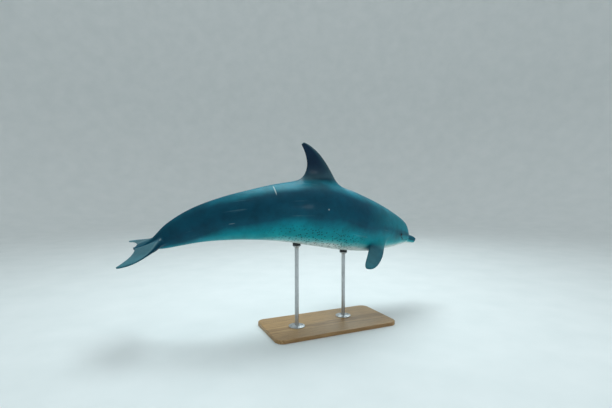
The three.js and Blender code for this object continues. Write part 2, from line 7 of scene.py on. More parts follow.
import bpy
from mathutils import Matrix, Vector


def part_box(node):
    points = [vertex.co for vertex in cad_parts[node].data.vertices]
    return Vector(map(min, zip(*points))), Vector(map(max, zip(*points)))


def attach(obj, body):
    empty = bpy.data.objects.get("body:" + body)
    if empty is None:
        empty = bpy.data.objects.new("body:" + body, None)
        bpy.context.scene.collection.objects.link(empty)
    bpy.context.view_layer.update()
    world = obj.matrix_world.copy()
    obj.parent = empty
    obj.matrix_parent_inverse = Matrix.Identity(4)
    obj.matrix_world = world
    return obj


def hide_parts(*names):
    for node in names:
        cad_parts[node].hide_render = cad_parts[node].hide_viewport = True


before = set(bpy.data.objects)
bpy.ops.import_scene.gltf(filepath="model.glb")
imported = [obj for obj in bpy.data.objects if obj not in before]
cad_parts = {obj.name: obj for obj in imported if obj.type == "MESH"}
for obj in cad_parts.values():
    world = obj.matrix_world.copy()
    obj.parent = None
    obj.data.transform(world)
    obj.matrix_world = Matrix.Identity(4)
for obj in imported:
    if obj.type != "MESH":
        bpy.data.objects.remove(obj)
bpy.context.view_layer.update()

import bpy
import numpy as np
from mathutils import Vector
from mathutils.bvhtree import BVHTree

# %% [markdown]
# # Driving dimensions
# A bottlenose dolphin of this size is 2.4 m from the tip of its beak to the notch between its flukes. Everything
# below is a share of that length, because the animal grows evenly and the shares are what make it a bottlenose.
# The numbers are the same as in the CAD part, so that the skin and the stand fit together.

# %% The animal in numbers
BODY_LENGTH = 2.4
SPINE_HEIGHT = 0.8
ANCHOR = 0.43
# Share of the body, then yaw to the left, pitch up and roll to the right in degrees.
SPINE = [
    (0.0, 12, -12, 1.5), (0.1, 11.5, -12.5, 2), (0.2, 12.5, -14, 3), (0.3, 13.5, -15.5, 4), (0.4, 12.5, -13, 4.5),
    (0.5, 8, -5.5, 5.5), (0.6, 0, 3, 6.5), (0.7, -11.5, 7.5, 7.5), (0.8, -21, 14, 8), (0.87, -24.5, 21.5, 9),
    (0.925, -22, 24, 9.5), (0.95, -13, 17, 9.5), (1.0, -9.5, 6, 9.5),
]
# Station, crest above the spine, belly below it, half width.
GIRTHS = [
    (0.0, -0.0015, -0.0125, 0.0055), (0.01, 0.005, -0.0175, 0.0112), (0.03, 0.0085, -0.0199, 0.0138),
    (0.051, 0.0122, -0.0216, 0.0168), (0.0545, 0.0205, -0.0222, 0.0185), (0.06, 0.0315, -0.0232, 0.021),
    (0.075, 0.0468, -0.0283, 0.0285), (0.1, 0.0585, -0.0366, 0.0372), (0.14, 0.0691, -0.0496, 0.0495),
    (0.2, 0.0807, -0.067, 0.064), (0.26, 0.0881, -0.0811, 0.0755), (0.33, 0.0927, -0.0909, 0.0825),
    (0.4, 0.0965, -0.0957, 0.0845), (0.48, 0.098, -0.0942, 0.081), (0.56, 0.0906, -0.0849, 0.071),
    (0.64, 0.0787, -0.0708, 0.057), (0.72, 0.0686, -0.0585, 0.0435), (0.8, 0.057, -0.0465, 0.031),
    (0.87, 0.0445, -0.0352, 0.0205), (0.92, 0.029, -0.0245, 0.0135), (0.955, 0.0145, -0.013, 0.01),
    (0.98, 0.0065, -0.006, 0.0075), (1.0, 0.0032, -0.0032, 0.006),
]
# How far the crest and the belly are drawn to an edge: 1 is an ellipse, and more is a keel.
KEELS = [
    (0.0, 0.92, 0.92), (0.06, 0.92, 0.92), (0.14, 0.97, 0.95), (0.45, 1.0, 0.95), (0.6, 1.15, 1.0),
    (0.75, 1.4, 1.2), (0.88, 1.6, 1.45), (1.0, 1.0, 1.0),
]
# Station and height of the line of the mouth.
MOUTH = [
    (-0.01, -0.0105), (0.01, -0.0085), (0.03, -0.0058), (0.055, -0.0062), (0.085, -0.0128), (0.105, -0.0142),
    (0.118, -0.0105),
]
# Fin outlines are cubic curves from root to tip: along the body and outwards.
DORSAL_FIN = dict(
    lead=[(0.417, 0.092), (0.452, 0.133), (0.489, 0.187), (0.537, 0.2035)],
    trail=[(0.56, 0.084), (0.499, 0.104), (0.523, 0.165), (0.5415, 0.198)],
    thick=(0.013, 0.0035),
)
FLUKE = dict(
    lead=[(0.912, 0.008), (0.945, 0.058), (0.98, 0.114), (1.0295, 0.111)],
    trail=[(0.9965, 0.004), (0.99, 0.038), (1.005, 0.078), (1.0305, 0.1085)],
    thick=(0.0072, 0.0018),
)
FLUKE_DROOP = 0.01  # how far the tips of the flukes hang
FLIPPER = dict(
    lead=[(0, -0.0265), (0.056, -0.0335), (0.112, -0.021), (0.124, 0.0155)],
    trail=[(0, 0.0265), (0.062, 0.015), (0.114, 0.03), (0.1235, 0.0185)],
    thick=(0.0085, 0.0022),
)
FLIPPER_ROOT = (0.2455, 0.054, -0.045)
# In degrees, and for the left (1) and the right (-1) where the two differ.
FLIPPER_SWEEP = 32
FLIPPER_DROP = {1: 18, -1: 55}
FLIPPER_TWIST = {1: 0, -1: -3}
print(f"A dolphin of {BODY_LENGTH} m with {len(GIRTHS)} girths along its body")

# %% [markdown]
# # A smooth curve through a few numbers
# An animal has no sharp change of girth, so a few measured stations are joined by a curve that is smooth and still
# never swings past its own points. A spline that overshoots would put a bulge where no muscle is.

# %% Curves
def through(rows, column):
    """A curve through one column of the rows, over their first column."""
    xs = np.array([row[0] for row in rows], float)
    ys = np.array([row[column] for row in rows], float)
    slopes = np.diff(ys) / np.diff(xs)
    before, after = slopes[:-1], slopes[1:]
    same = before * after > 0
    inner = np.where(same, 2 * before * after / np.where(same, before + after, 1), 0)
    tangents = np.concatenate([slopes[:1], inner, slopes[-1:]])

    def curve(x):
        x = np.clip(x, xs[0], xs[-1])
        i = np.clip(np.searchsorted(xs, x, side="right") - 1, 0, len(xs) - 2)
        width = xs[i + 1] - xs[i]
        t = (x - xs[i]) / width
        start = (2 * t**3 - 3 * t**2 + 1) * ys[i] + (t**3 - 2 * t**2 + t) * width * tangents[i]
        end = (3 * t**2 - 2 * t**3) * ys[i + 1] + (t**3 - t**2) * width * tangents[i + 1]
        return start + end

    return curve


def mix(a, b, share):
    return a + (b - a) * share


def smooth_step(low, high, x):
    t = np.clip((x - low) / (high - low), 0, 1)
    return t * t * (3 - 2 * t)


def cubic(corners, t):
    a, b, c, d = np.array(corners) * BODY_LENGTH
    return (1 - t) ** 3 * a + 3 * (1 - t) ** 2 * t * b + 3 * (1 - t) * t**2 * c + t**3 * d


crest, belly, half_width = (through(GIRTHS, column) for column in (1, 2, 3))
crest_keel, belly_keel = through(KEELS, 1), through(KEELS, 2)
mouth_height = through(MOUTH, 1)
print(f"Deepest at 0.4 of the length: {(crest(0.4) - belly(0.4)) * BODY_LENGTH * 1000:.0f} mm")

# %% [markdown]
# # The swimming spine
# A dolphin bends its whole spine, not its skin, so the body is drawn straight and then carried along a bent spine.
# Each place on the body keeps its straight coordinates too: how far aft, how far left and how far up. The markings
# are painted in those coordinates, and so they follow the bend as real markings do.

# %% Bending
SPINE_STEPS = 240
turns = [through(SPINE, column) for column in (1, 2, 3)]


def spine_axes(share):
    yaw, pitch, roll = (np.radians(turn(share)) for turn in turns)
    forward = np.stack([np.cos(yaw) * np.cos(pitch), np.sin(yaw) * np.cos(pitch), np.sin(pitch)], -1)
    level = np.stack([-np.sin(yaw), np.cos(yaw), 0 * yaw], -1)
    upright = np.cross(forward, level)
    cosine, sine = np.cos(roll)[..., None], np.sin(roll)[..., None]
    return -forward, level * cosine + upright * sine, upright * cosine - level * sine


middles = (np.arange(SPINE_STEPS) + 0.5) / SPINE_STEPS
steps = spine_axes(middles)[0] * BODY_LENGTH / SPINE_STEPS
spine_points = np.vstack([np.zeros(3), np.cumsum(steps, axis=0)])


def spine_point(share):
    place = np.clip(share, 0, 1) * SPINE_STEPS
    i = np.minimum(SPINE_STEPS - 1, np.floor(place).astype(int))
    return mix(spine_points[i], spine_points[i + 1], (place - i)[..., None])


to_stand = np.array([0, 0, SPINE_HEIGHT]) - spine_point(np.array(ANCHOR))


def bend(body):
    share = body[..., 0] / BODY_LENGTH
    held = np.clip(share, 0, 1)
    aft, left, up = spine_axes(held)
    beyond = ((share - held) * BODY_LENGTH)[..., None]
    return spine_point(held) + to_stand + aft * beyond + left * body[..., 1:2] + up * body[..., 2:3]


print("Tip of the beak at", np.round(bend(np.zeros(3)), 3).tolist())

# %% [markdown]
# # A cage of quads
# The skin of a real animal has no seam where a fin begins. One cage of four-sided faces therefore carries the body
# and grows the fins out of it. Subdivision rounds the cage, and it stays smooth across every root.

# %% Rings along the body
COLUMNS = 16
TRUNK_ANGLES = np.array([0, 14, 40, 66, 90, 112.5, 135, 157.5, 180])
HEAD_ANGLES = np.array([0, 25, 50, 74, 94, 108, 124, 151, 180])
# Start, end and number of faces of each run along the body. The fins grow out of three of them.
FLIPPER_RUN, DORSAL_RUN, FLUKE_RUN = (0.214, 0.3, 3), (0.415, 0.55, 4), (0.918, 1.0, 4)
RUNS = [
    (0.002, 0.012, 1), (0.012, 0.05, 2), (0.05, 0.06, 2), (0.06, 0.1, 3), (0.1, 0.165, 4), (0.165, 0.214, 2),
    FLIPPER_RUN, (0.3, 0.365, 2), (0.365, 0.415, 1), DORSAL_RUN, (0.55, 0.61, 1), (0.61, 0.77, 3),
    (0.77, 0.885, 2), (0.885, 0.918, 1), FLUKE_RUN,
]
RINGS = [mix(start, end, i / faces) for start, end, faces in RUNS for i in range(faces)] + [1.0]


def column_angle(column, at):
    half = min(column, COLUMNS - column)
    angle = mix(HEAD_ANGLES[half], TRUNK_ANGLES[half], smooth_step(0.12, 0.21, at))
    return np.radians(angle if column <= COLUMNS / 2 else 360 - angle)


def skin_point(at, angle):
    side, up = np.sin(angle), np.cos(angle)
    keel = np.where(up > 0, crest_keel(at), belly_keel(at))
    height = np.where(up > 0, crest(at), -belly(at))
    width = half_width(at) * np.sign(side) * np.abs(side) ** keel
    return np.stack([at + 0 * side, width, height * up], -1) * BODY_LENGTH


def ring_at(at):
    return int(np.argmin(np.abs(np.array(RINGS) - at)))


print(f"{len(RINGS)} rings of {COLUMNS} points")

# %% [markdown]
# # The fins
# A fin is a thin wing: a round leading edge, the thickest part a third of the way back and a fine trailing edge.
# A dorsal fin and flukes have no bone and a flipper is a stiff hand, but all of them carry this section because
# all of them work in flowing water.

# %% Fin sections
LEADING_ROUND, TRAILING_ROUND = 0.035, 0.985
# Share of the way out, chord, thickness and half thickness of the edges of each loop of points.
LEVELS = [
    (0.17, 1.02, 1.35, 0.013), (0.3, 1, 1.05, 0.006), (0.5, 1, 1, 0.0014), (0.7, 1, 1, 0.0012),
    (0.87, 1, 1, 0.0012), (0.97, 1, 0.9, 0.0012),
]


def foil(c):
    return 10 * (0.2969 * np.sqrt(c) - 0.126 * c - 0.3516 * c**2 + 0.2843 * c**3 - 0.1015 * c**4)


def fin_point(fin, level, a, b, faces):
    out, chord, swell, edge = level
    share = a / faces
    if b != 0:
        share = min(max(share, LEADING_ROUND), TRAILING_ROUND)
    place = mix(cubic(fin["lead"], out), cubic(fin["trail"], out), mix(0.5, share, chord))
    half = mix(*fin["thick"], out) * BODY_LENGTH * swell * foil(share) + edge
    return fin["place"](place, b * half)


def fluke(side):
    def place(point, half):
        out = point[1] / (FLUKE["lead"][3][1] * BODY_LENGTH)
        return [point[0], side * point[1], -side * half - FLUKE_DROOP * BODY_LENGTH * out * out]

    return dict(FLUKE, run=FLUKE_RUN, column=4 if side > 0 else 12, place=place)


def flipper(side):
    sweep, drop, twist = np.radians([FLIPPER_SWEEP, FLIPPER_DROP[side], FLIPPER_TWIST[side]])
    sideways = np.array([0, np.cos(drop), -np.sin(drop)])
    backward = np.array([1.0, 0, 0])
    along = sideways * np.cos(sweep) + backward * np.sin(sweep)
    level = backward * np.cos(sweep) - sideways * np.sin(sweep)
    upper = np.cross(level, along)
    chord = level * np.cos(twist) + upper * np.sin(twist)
    face = upper * np.cos(twist) - level * np.sin(twist)
    root = np.array(FLIPPER_ROOT) * BODY_LENGTH

    def place(point, half):
        x, y, z = root + along * point[0] + chord * point[1] - face * side * half
        return [x, side * y, z]

    return dict(FLIPPER, run=FLIPPER_RUN, column=6 if side > 0 else 10, place=place)


dorsal_fin = dict(DORSAL_FIN, run=DORSAL_RUN, column=0, place=lambda point, half: [point[0], half, point[1]])
fins = [dorsal_fin, fluke(1), fluke(-1), flipper(1), flipper(-1)]
print(f"{len(fins)} fins, each with {len(LEVELS)} loops and a cap")

# %% [markdown]
# # Joining body and fins
# A fin replaces a patch of the body's faces, two columns wide. The patch's own border becomes the fin's first loop,
# so no point is doubled and no edge is left open. Each point also notes its reach, which is 0 on the body and 1 at
# the tip of a fin, for the colours.

# %% Closing the ends
CAP = COLUMNS // 4  # faces along each side of a cap


def cap_grid(cage, quads, ring, bulge, flipped):
    """Fills a ring with a square grid of faces, so that no pole shows. The bulge moves the middle aft."""
    half, count = CAP // 2, range(CAP + 1)
    top, bottom = [ring[(i - half) % COLUMNS] for i in count], [ring[COLUMNS // 2 + half - i] for i in count]
    right, left = [ring[COLUMNS - half - i] for i in count], [ring[half + i] for i in count]
    grid = {}
    for row in count:
        for col in count:
            if row in (0, CAP):
                grid[row, col] = (top if row == 0 else bottom)[col]
            elif col in (0, CAP):
                grid[row, col] = (right if col == 0 else left)[row]
            else:
                u, v = col / CAP, row / CAP
                border = np.array([cage[i] for i in (top[col], bottom[col], right[row], left[row])])
                corners = np.array([cage[i] for i in (top[0], top[-1], bottom[0], bottom[-1])])
                point = mix(border[0], border[1], v) + mix(border[2], border[3], u)
                point -= mix(mix(corners[0], corners[1], u), mix(corners[2], corners[3], u), v)
                point[0] += bulge * np.sin(np.pi * u) * np.sin(np.pi * v)
                cage.append(point)
                grid[row, col] = len(cage) - 1
    for row in range(CAP):
        for col in range(CAP):
            quad = [grid[row, col], grid[row, col + 1], grid[row + 1, col + 1], grid[row + 1, col]]
            quads.append(quad[::-1] if flipped else quad)


print(f"Caps of {CAP} by {CAP} faces")


# %% Growing a fin
def fin_loop(faces):
    """The places round a fin: steps along its chord, and 1 or -1 on its two sides or 0 at its edges."""
    one_side, other_side = [(a, 1) for a in range(faces + 1)], [(a, -1) for a in range(faces, 0, -1)]
    return [(0, -1), (0, 0)] + one_side + [(faces, 0)] + other_side


def grow_fin(cage, quads, reach, rings, fin):
    start, _, faces = fin["run"]
    first, loop = ring_at(start), fin_loop(faces)
    inner = [rings[first + a][(fin["column"] + b) % COLUMNS] for a, b in loop]
    for level in LEVELS:
        outer = []
        for a, b in loop:
            cage.append(fin_point(fin, level, a, b, faces))
            outer.append(len(cage) - 1)
            reach[outer[-1]] = level[0]
        for i in range(len(loop)):
            j = (i + 1) % len(loop)
            quads.append([inner[i], inner[j], outer[j], outer[i]])
        inner = outer
    ids = dict(zip(loop, inner))
    tip = np.array(fin["place"](mix(cubic(fin["lead"], 1), cubic(fin["trail"], 1), 0.5), 0))
    for a in range(1, faces):
        middle = (np.array(cage[ids[a, 1]]) + cage[ids[a, -1]]) / 2
        cage.append((middle + tip) / 2)
        ids[a, 0] = len(cage) - 1
        reach[ids[a, 0]] = 1.0
    for a in range(faces):
        for b in (-1, 0):
            quads.append([ids[a, b], ids[a, b + 1], ids[a + 1, b + 1], ids[a + 1, b]])


print("Points round each fin:", [len(fin_loop(fin["run"][2])) for fin in fins])

# %% The cage
BEAK_BULGE, NOTCH_BULGE = -0.0035 * BODY_LENGTH, 0.001 * BODY_LENGTH
FIN_COLUMNS = 2


def build_cage():
    cage, quads, rings, reach = [], [], [], {}
    for at in RINGS:
        rings.append(range(len(cage), len(cage) + COLUMNS))
        cage += [skin_point(at, column_angle(j, at)) for j in range(COLUMNS)]
    for i in range(len(RINGS) - 1):
        for j in range(COLUMNS):
            taken = [0 <= i - ring_at(fin["run"][0]) < fin["run"][2] for fin in fins]
            across = [(j - fin["column"] + 1) % COLUMNS < FIN_COLUMNS for fin in fins]
            if not any(row and column for row, column in zip(taken, across)):
                k = (j + 1) % COLUMNS
                quads.append([rings[i][j], rings[i][k], rings[i + 1][k], rings[i + 1][j]])
    cap_grid(cage, quads, rings[0], BEAK_BULGE, True)
    cap_grid(cage, quads, rings[-1], NOTCH_BULGE, False)
    for fin in fins:
        grow_fin(cage, quads, reach, rings, fin)
    used, quads = np.unique(np.array(quads), return_inverse=True)
    return np.array(cage, float)[used], quads.reshape(-1, 4), np.array([reach.get(i, 0.0) for i in used])


drawn, quads, reach = build_cage()
print(f"A cage of {len(quads)} quads")

# %% [markdown]
# # Drawing the cage outwards
# Subdivision pulls a surface inside its cage, and a beak or a fin would come out thinner than it was drawn. So the
# cage is moved outwards a few times by what is missing, until the rounded skin runs through the drawn points.

# %% Fitting the cage
def summed(ids, values, count):
    return np.stack([np.bincount(ids, column, count) for column in values.T], 1)


def limit_points(points, quads):
    corners, size = points[quads], len(points)
    ids = quads.ravel()
    n = np.bincount(ids, minlength=size)[:, None]
    beside = (np.roll(corners, -1, axis=1) + np.roll(corners, 1, axis=1)) / 2
    near = summed(ids, beside.reshape(len(ids), -1), size)
    far = summed(ids, np.roll(corners, 2, axis=1).reshape(len(ids), -1), size)
    return (n * n * points + 4 * near + far) / (n * (n + 5))


ROOT_HOLD = 0.1  # a fin's root is held back, so that it flows into the body without a dent
at_root = reach[quads].max(axis=1) == LEVELS[0][0]
hold = np.ones(len(drawn))
hold[quads[at_root]] = ROOT_HOLD
FITTING_ROUNDS = 3


def fit_cage(target):
    points = target
    for _ in range(FITTING_ROUNDS):
        points = points + hold[:, None] * (target - limit_points(points, quads))
    return points


straight_cage, bent_cage = fit_cage(drawn), fit_cage(bend(drawn))
missed = np.linalg.norm(limit_points(bent_cage, quads) - bend(drawn), axis=1)
print(f"The skin passes {np.median(missed) * 1000:.2f} mm from a drawn point, {missed.max() * 1000:.1f} at most")

# %% [markdown]
# # Rounding the cage, finer where it matters
# The Subdivision Surface modifier rounds a cage by the Catmull-Clark rule, evenly all over. A flank needs faces of a
# centimetre but an eyelid needs faces of a millimetre, and a body that fine all over would be far too heavy. So the
# same rule is written out here. All of the body is rounded five times, and each region then keeps only the step it
# needs. Old points keep their numbers at every step, so faces of different steps can share them.

# %% Catmull-Clark by hand
def subdivide(points, quads):
    """Returns the new points, the new quads and, for each old quad, the new points on its four edges."""
    count, corners = len(points), points[quads]
    ends = np.stack([quads, np.roll(quads, -1, axis=1)], -1)
    keys, edges = np.unique(ends.min(-1) * count + ends.max(-1), return_inverse=True)
    edges = edges.reshape(quads.shape)
    centres, ids = corners.mean(axis=1), quads.ravel()
    spread = np.repeat(centres, 4, axis=0)
    edge_points = (points[keys // count] + points[keys % count] + summed(edges.ravel(), spread, len(keys))) / 4
    beside = (np.roll(corners, -1, axis=1) + np.roll(corners, 1, axis=1)) / 4 + corners / 2
    n = np.bincount(ids, minlength=count)[:, None]
    around = summed(ids, spread, count) + 2 * summed(ids, beside.reshape(len(ids), -1), count)
    moved = (around / n + (n - 3) * points) / n
    edges = edges + count
    middles = np.arange(len(quads)) + count + len(keys)
    split = [np.stack([quads[:, c], edges[:, c], middles, edges[:, (c + 3) % 4]], 1) for c in range(4)]
    return np.vstack([moved, edge_points, centres]), np.concatenate(split), edges


COARSE, FINE = 3, 5
points = np.hstack([bent_cage, straight_cage, reach[:, None]])
faces_at, edges_at = [quads], []
for step in range(FINE):
    points, finer, edges = subdivide(points, faces_at[-1])
    faces_at.append(finer)
    edges_at.append(edges)
points = limit_points(points, faces_at[FINE])
print(f"{len(faces_at[COARSE])} quads after {COARSE} steps and {len(faces_at[FINE])} after {FINE}")


# %% Normals
def normals_of(places, faces):
    across = places[faces]
    flat = np.cross(across[:, 2] - across[:, 0], across[:, 3] - across[:, 1])
    total = summed(faces.ravel(), np.repeat(flat, 4, axis=0), len(places))
    return total / np.linalg.norm(total, axis=1, keepdims=True)


skin, body, reach = points[:, :3].copy(), points[:, 3:6], np.clip(points[:, 6], 0, 1)
outward, straight_outward = normals_of(skin, faces_at[FINE]), normals_of(body, faces_at[FINE])
sample = slice(len(drawn), None, 997)  # a few hundred points are enough to tell which way the quads are wound
wound_inwards = (outward[sample] * (skin[sample] - skin.mean(axis=0))).sum(axis=1).mean() < 0
if wound_inwards:
    outward, straight_outward = -outward, -straight_outward
print("Quads wound", "inwards, so they will be turned" if wound_inwards else "outwards")

# %% [markdown]
# # The small features of the skin
# A dolphin's face is made by a few lines: the mouth with its upturned corner, the crease where the melon meets the
# beak, the blowhole and the pinhole of the ear. The belly has the navel and two slits. A texture could only paint
# them, so each is a line drawn on the skin and pressed into it, with a soft rim beside it.

# %% Lines on the skin
def on_skin(at, height, side):
    ratio = height / np.where(np.asarray(height) > 0, crest(at), -belly(at))
    return skin_point(np.asarray(at, float), side * np.arccos(np.clip(ratio, -1, 1)))


# Each line holds its points, and then its depth, its half width and the height of its rim in metres.
lines = {}
mouth_run = np.linspace(0.0, MOUTH[-1][0], 40)
MOUTH_CORNER = np.array([(0.1208, -0.0084), (0.1238, -0.0056)])  # the line turns up here, as in a smile
EAR = np.array([(0.157, -0.0005), (0.1574, -0.0005)])
mouth_at = np.concatenate([mouth_run, MOUTH_CORNER[:, 0]])
mouth_up = np.concatenate([mouth_height(mouth_run), MOUTH_CORNER[:, 1]])
for side in (1, -1):
    lines[f"mouth_{side}"] = (on_skin(mouth_at, mouth_up, side), 0.0028, 0.0017, 0.0007)
    lines[f"ear_{side}"] = (on_skin(*EAR.T, side), 0.0016, 0.0015, 0.0003)
front = np.linspace(-1, 1, 9)
front_line = np.stack([-0.0036 + 0.0086 * front**2, 0.0135 * front, -0.0236 + 0 * front], 1)
lines["mouth_front"] = (front_line, 0.0024, 0.0017, 0.0005)
CREASE_AT, BLOWHOLE_AT, BLOWHOLE_HALF = 0.0535, 0.139, 0.017
around = np.radians(np.linspace(-92, 92, 30))
lines["melon_crease"] = (skin_point(CREASE_AT + 0 * around, around), 0.0022, 0.0032, 0.0)
across = np.linspace(-1, 1, 17)
blow_angles = np.arcsin(BLOWHOLE_HALF * across / (half_width(BLOWHOLE_AT) * BODY_LENGTH))
lines["blowhole"] = (skin_point(BLOWHOLE_AT - 0.0042 * across**2, blow_angles), 0.0055, 0.0019, 0.0013)
# Those under the belly: where each starts and ends, its count of points, depth, half width and rim.
UNDER_LINES = [
    ("navel", 0.437, 0.443, 2, 0.002, 0.0045, 0.0005), ("slit", 0.665, 0.7, 8, 0.0035, 0.0022, 0.0009),
    ("vent", 0.722, 0.732, 4, 0.0025, 0.002, 0.0007),
]
for name, start, end, count, *press in UNDER_LINES:
    lines[name] = (skin_point(np.linspace(start, end, count), np.full(count, np.pi)), *press)
print("Lines on the skin:", ", ".join(lines))


# %% Distance to a line
def to_line(places, line, normals=None, deepest=0.015):
    """With normals, the distance is measured along the skin, and the far side of a thin fin is left out."""
    best = np.full(len(places), np.inf)
    for start, end in zip(line[:-1], line[1:]):
        run = end - start
        share = np.clip((places - start) @ run / max(run @ run, 1e-12), 0, 1)
        gap = places - (start + share[:, None] * run)
        reached = np.zeros(len(places), bool)
        if normals is not None:
            off = (gap * normals).sum(axis=1)
            gap = gap - off[:, None] * normals
            reached = np.abs(off) > deepest
        best = np.minimum(best, np.where(reached, np.inf, np.sqrt((gap**2).sum(axis=1))))
    return best


def close_to(places, line, margin):
    return np.flatnonzero(((places > line.min(0) - margin) & (places < line.max(0) + margin)).all(axis=1))


LINE_REACH, FAR_FROM_LINES = 0.03, 0.04
EYE_AT, EYE_UP, LID_REACH = 0.13, 0.002, 0.03
eye_places = {side: on_skin(np.array(EYE_AT), np.array(EYE_UP), side) for side in (1, -1)}


def nearest_feature(places):
    best = np.full(len(places), np.inf)
    for line, *_ in lines.values():
        near = close_to(places, line, FAR_FROM_LINES)
        best[near] = np.minimum(best[near], to_line(places[near], line))
    for place in eye_places.values():
        best = np.minimum(best, np.maximum(0, np.linalg.norm(places - place, axis=1) - LID_REACH))
    return best


print("Eyes at", {side: np.round(place, 3).tolist() for side, place in eye_places.items()})

# %% [markdown]
# # Keeping the fine faces
# A face is replaced by its four smaller ones if a feature is near and the face is still too large for it. Where a
# small face meets a large one, the large one takes up the extra point on the shared edge, and so the skin stays
# closed. A modifier can't do this, but a few lines of Python can.

# %% Choosing the faces
NEAR = {3: 0.013, 4: 0.0065}  # how near a feature a face of each step must be to be divided
FACE_SIZE = {3: 0.0022, 4: 0.0014}  # and how large it must be


def to_divide(step, among):
    faces = faces_at[step]
    corners = body[faces[among]]
    size = np.linalg.norm(corners[:, 2] - corners[:, 0], axis=1) / np.sqrt(2)
    chosen = np.zeros(len(faces), bool)
    chosen[among] = (nearest_feature(corners.mean(axis=1)) < NEAR[step] + size / 2) & (size > FACE_SIZE[step])
    return chosen


divided, kept = {}, {}
alive = np.ones(len(faces_at[COARSE]), bool)
for step in range(COARSE, FINE):
    divided[step] = to_divide(step, np.flatnonzero(alive))
    kept[step] = alive & ~divided[step]
    alive = np.tile(divided[step], 4)
kept[FINE] = alive
print("Faces kept at each step:", {step: int(chosen.sum()) for step, chosen in kept.items()})

# %% Closing the joints between fine and coarse
halfway = {}
for step, chosen in divided.items():
    corner, middle = faces_at[step][chosen], edges_at[step][chosen]
    triples = np.stack([corner, np.roll(corner, -1, axis=1), middle], -1).reshape(-1, 3)
    halfway.update({(min(a, b), max(a, b)): m for a, b, m in triples.tolist()})


def edge_with_extra_points(a, b):
    m = halfway.get((min(a, b), max(a, b)))
    return [a] if m is None else edge_with_extra_points(a, m) + edge_with_extra_points(m, b)


skin_faces = []
for step, chosen in kept.items():
    for quad in faces_at[step][chosen].tolist():
        skin_faces.append([i for a, b in zip(quad, quad[1:] + quad[:1]) for i in edge_with_extra_points(a, b)])
if wound_inwards:
    skin_faces = [face[::-1] for face in skin_faces]
used = np.unique(np.concatenate(skin_faces))
renumber = np.full(len(points), -1)
renumber[used] = np.arange(len(used))
skin_faces = [renumber[face].tolist() for face in skin_faces]
skin, body, reach, outward, straight_outward = (a[used] for a in (skin, body, reach, outward, straight_outward))
triangles = sum(len(face) - 2 for face in skin_faces)
print(f"A skin of {len(used)} points and {triangles} triangles")

# %% Pressing the lines in, with painted shade in them
# Each line also gets painted shade, darker the deeper it is pressed, as shade falls in a crease.
FULL_SHADE = 0.0025  # a line this deep is painted as dark as any
RIM_AWAY, SPREAD = 2.3, 1.2  # where a line's rim stands and how soft its edges are, in half widths of the line
groove, sink = np.zeros(len(skin)), np.zeros(len(skin))
for line, depth, half, rim in lines.values():
    near = close_to(body, line, LINE_REACH)
    away = to_line(body[near], line, straight_outward[near])
    sink[near] = np.maximum(sink[near], depth * np.exp(-((away / half) ** 2)))
    sink[near] -= rim * np.exp(-(((away - RIM_AWAY * half) / (SPREAD * half)) ** 2))
    darkness = np.exp(-((away / (SPREAD * half)) ** 2)) * min(1, depth / FULL_SHADE)
    groove[near] = np.maximum(groove[near], darkness)
skin -= sink[:, None] * outward
print(f"Lines up to {sink.max() * 1000:.1f} mm deep")

# %% [markdown]
# # Lids round the eyes
# A dolphin's eye is a small dark ball that sits just above and behind the corner of the mouth. Thick smooth lids
# slide over the ball, with two folds above and two below. The skin near the eye is raised to lie over the ball,
# opened in an almond, and turned in below the ball's surface at the rim, as a real lid is.

# %% The almond and the axes of each eye
ALMOND = dict(half=0.0135, upper=0.0085, lower=0.0072, corners=0.8)
AXIS_REACH = 0.025  # the eye looks the way that the skin within this distance faces


def almond_edge(along, upper):
    height = np.where(upper, ALMOND["upper"], ALMOND["lower"])
    return height * np.clip(1 - (along / ALMOND["half"]) ** 2, 0, 1) ** ALMOND["corners"]


def eye_frame(name, side):
    low, high = (np.array(corner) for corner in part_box(name))
    centre = (low + high) / 2
    near = np.linalg.norm(skin - bend(eye_places[side]), axis=1) < AXIS_REACH
    axis = outward[near].mean(axis=0)
    axis /= np.linalg.norm(axis)
    aft = spine_axes(np.array(EYE_AT))[0]
    aft = aft - (aft @ axis) * axis
    aft /= np.linalg.norm(aft)
    up = np.cross(axis, aft) * side
    return centre, aft, up, axis


eye_frames = {name: eye_frame(name, side) for name, side in (("eye_left", 1), ("eye_right", -1))}
turn_round = np.linspace(-ALMOND["half"], ALMOND["half"], 60)
above, under = almond_edge(turn_round, True), -almond_edge(turn_round, False)
rim_points = np.array([*zip(turn_round, above), *zip(turn_round[::-1], under[::-1])])
rim_line = np.hstack([np.vstack([rim_points, rim_points[:1]]), np.zeros((len(rim_points) + 1, 1))])
print(f"An almond {2000 * ALMOND['half']:.0f} mm wide and {1000 * (ALMOND['upper'] + ALMOND['lower']):.0f} mm high")

# %% The lids
BALL, LID, RIM_WIDTH = 0.02, 0.0022, 0.0016
LID_BLEND, RIM_ROUND, TUCK = 0.0022, 0.0009, 0.003
LID_ENDS, FOLDS_END = (0.015, 0.027), (0.028, 0.02)  # how far from the middle the lids and the folds fade out
EYE_REGION, FOLD_CORNERS = 0.055, 0.004
FOLD_SHADE = 250  # how dark a fold is painted, for each metre of its depth
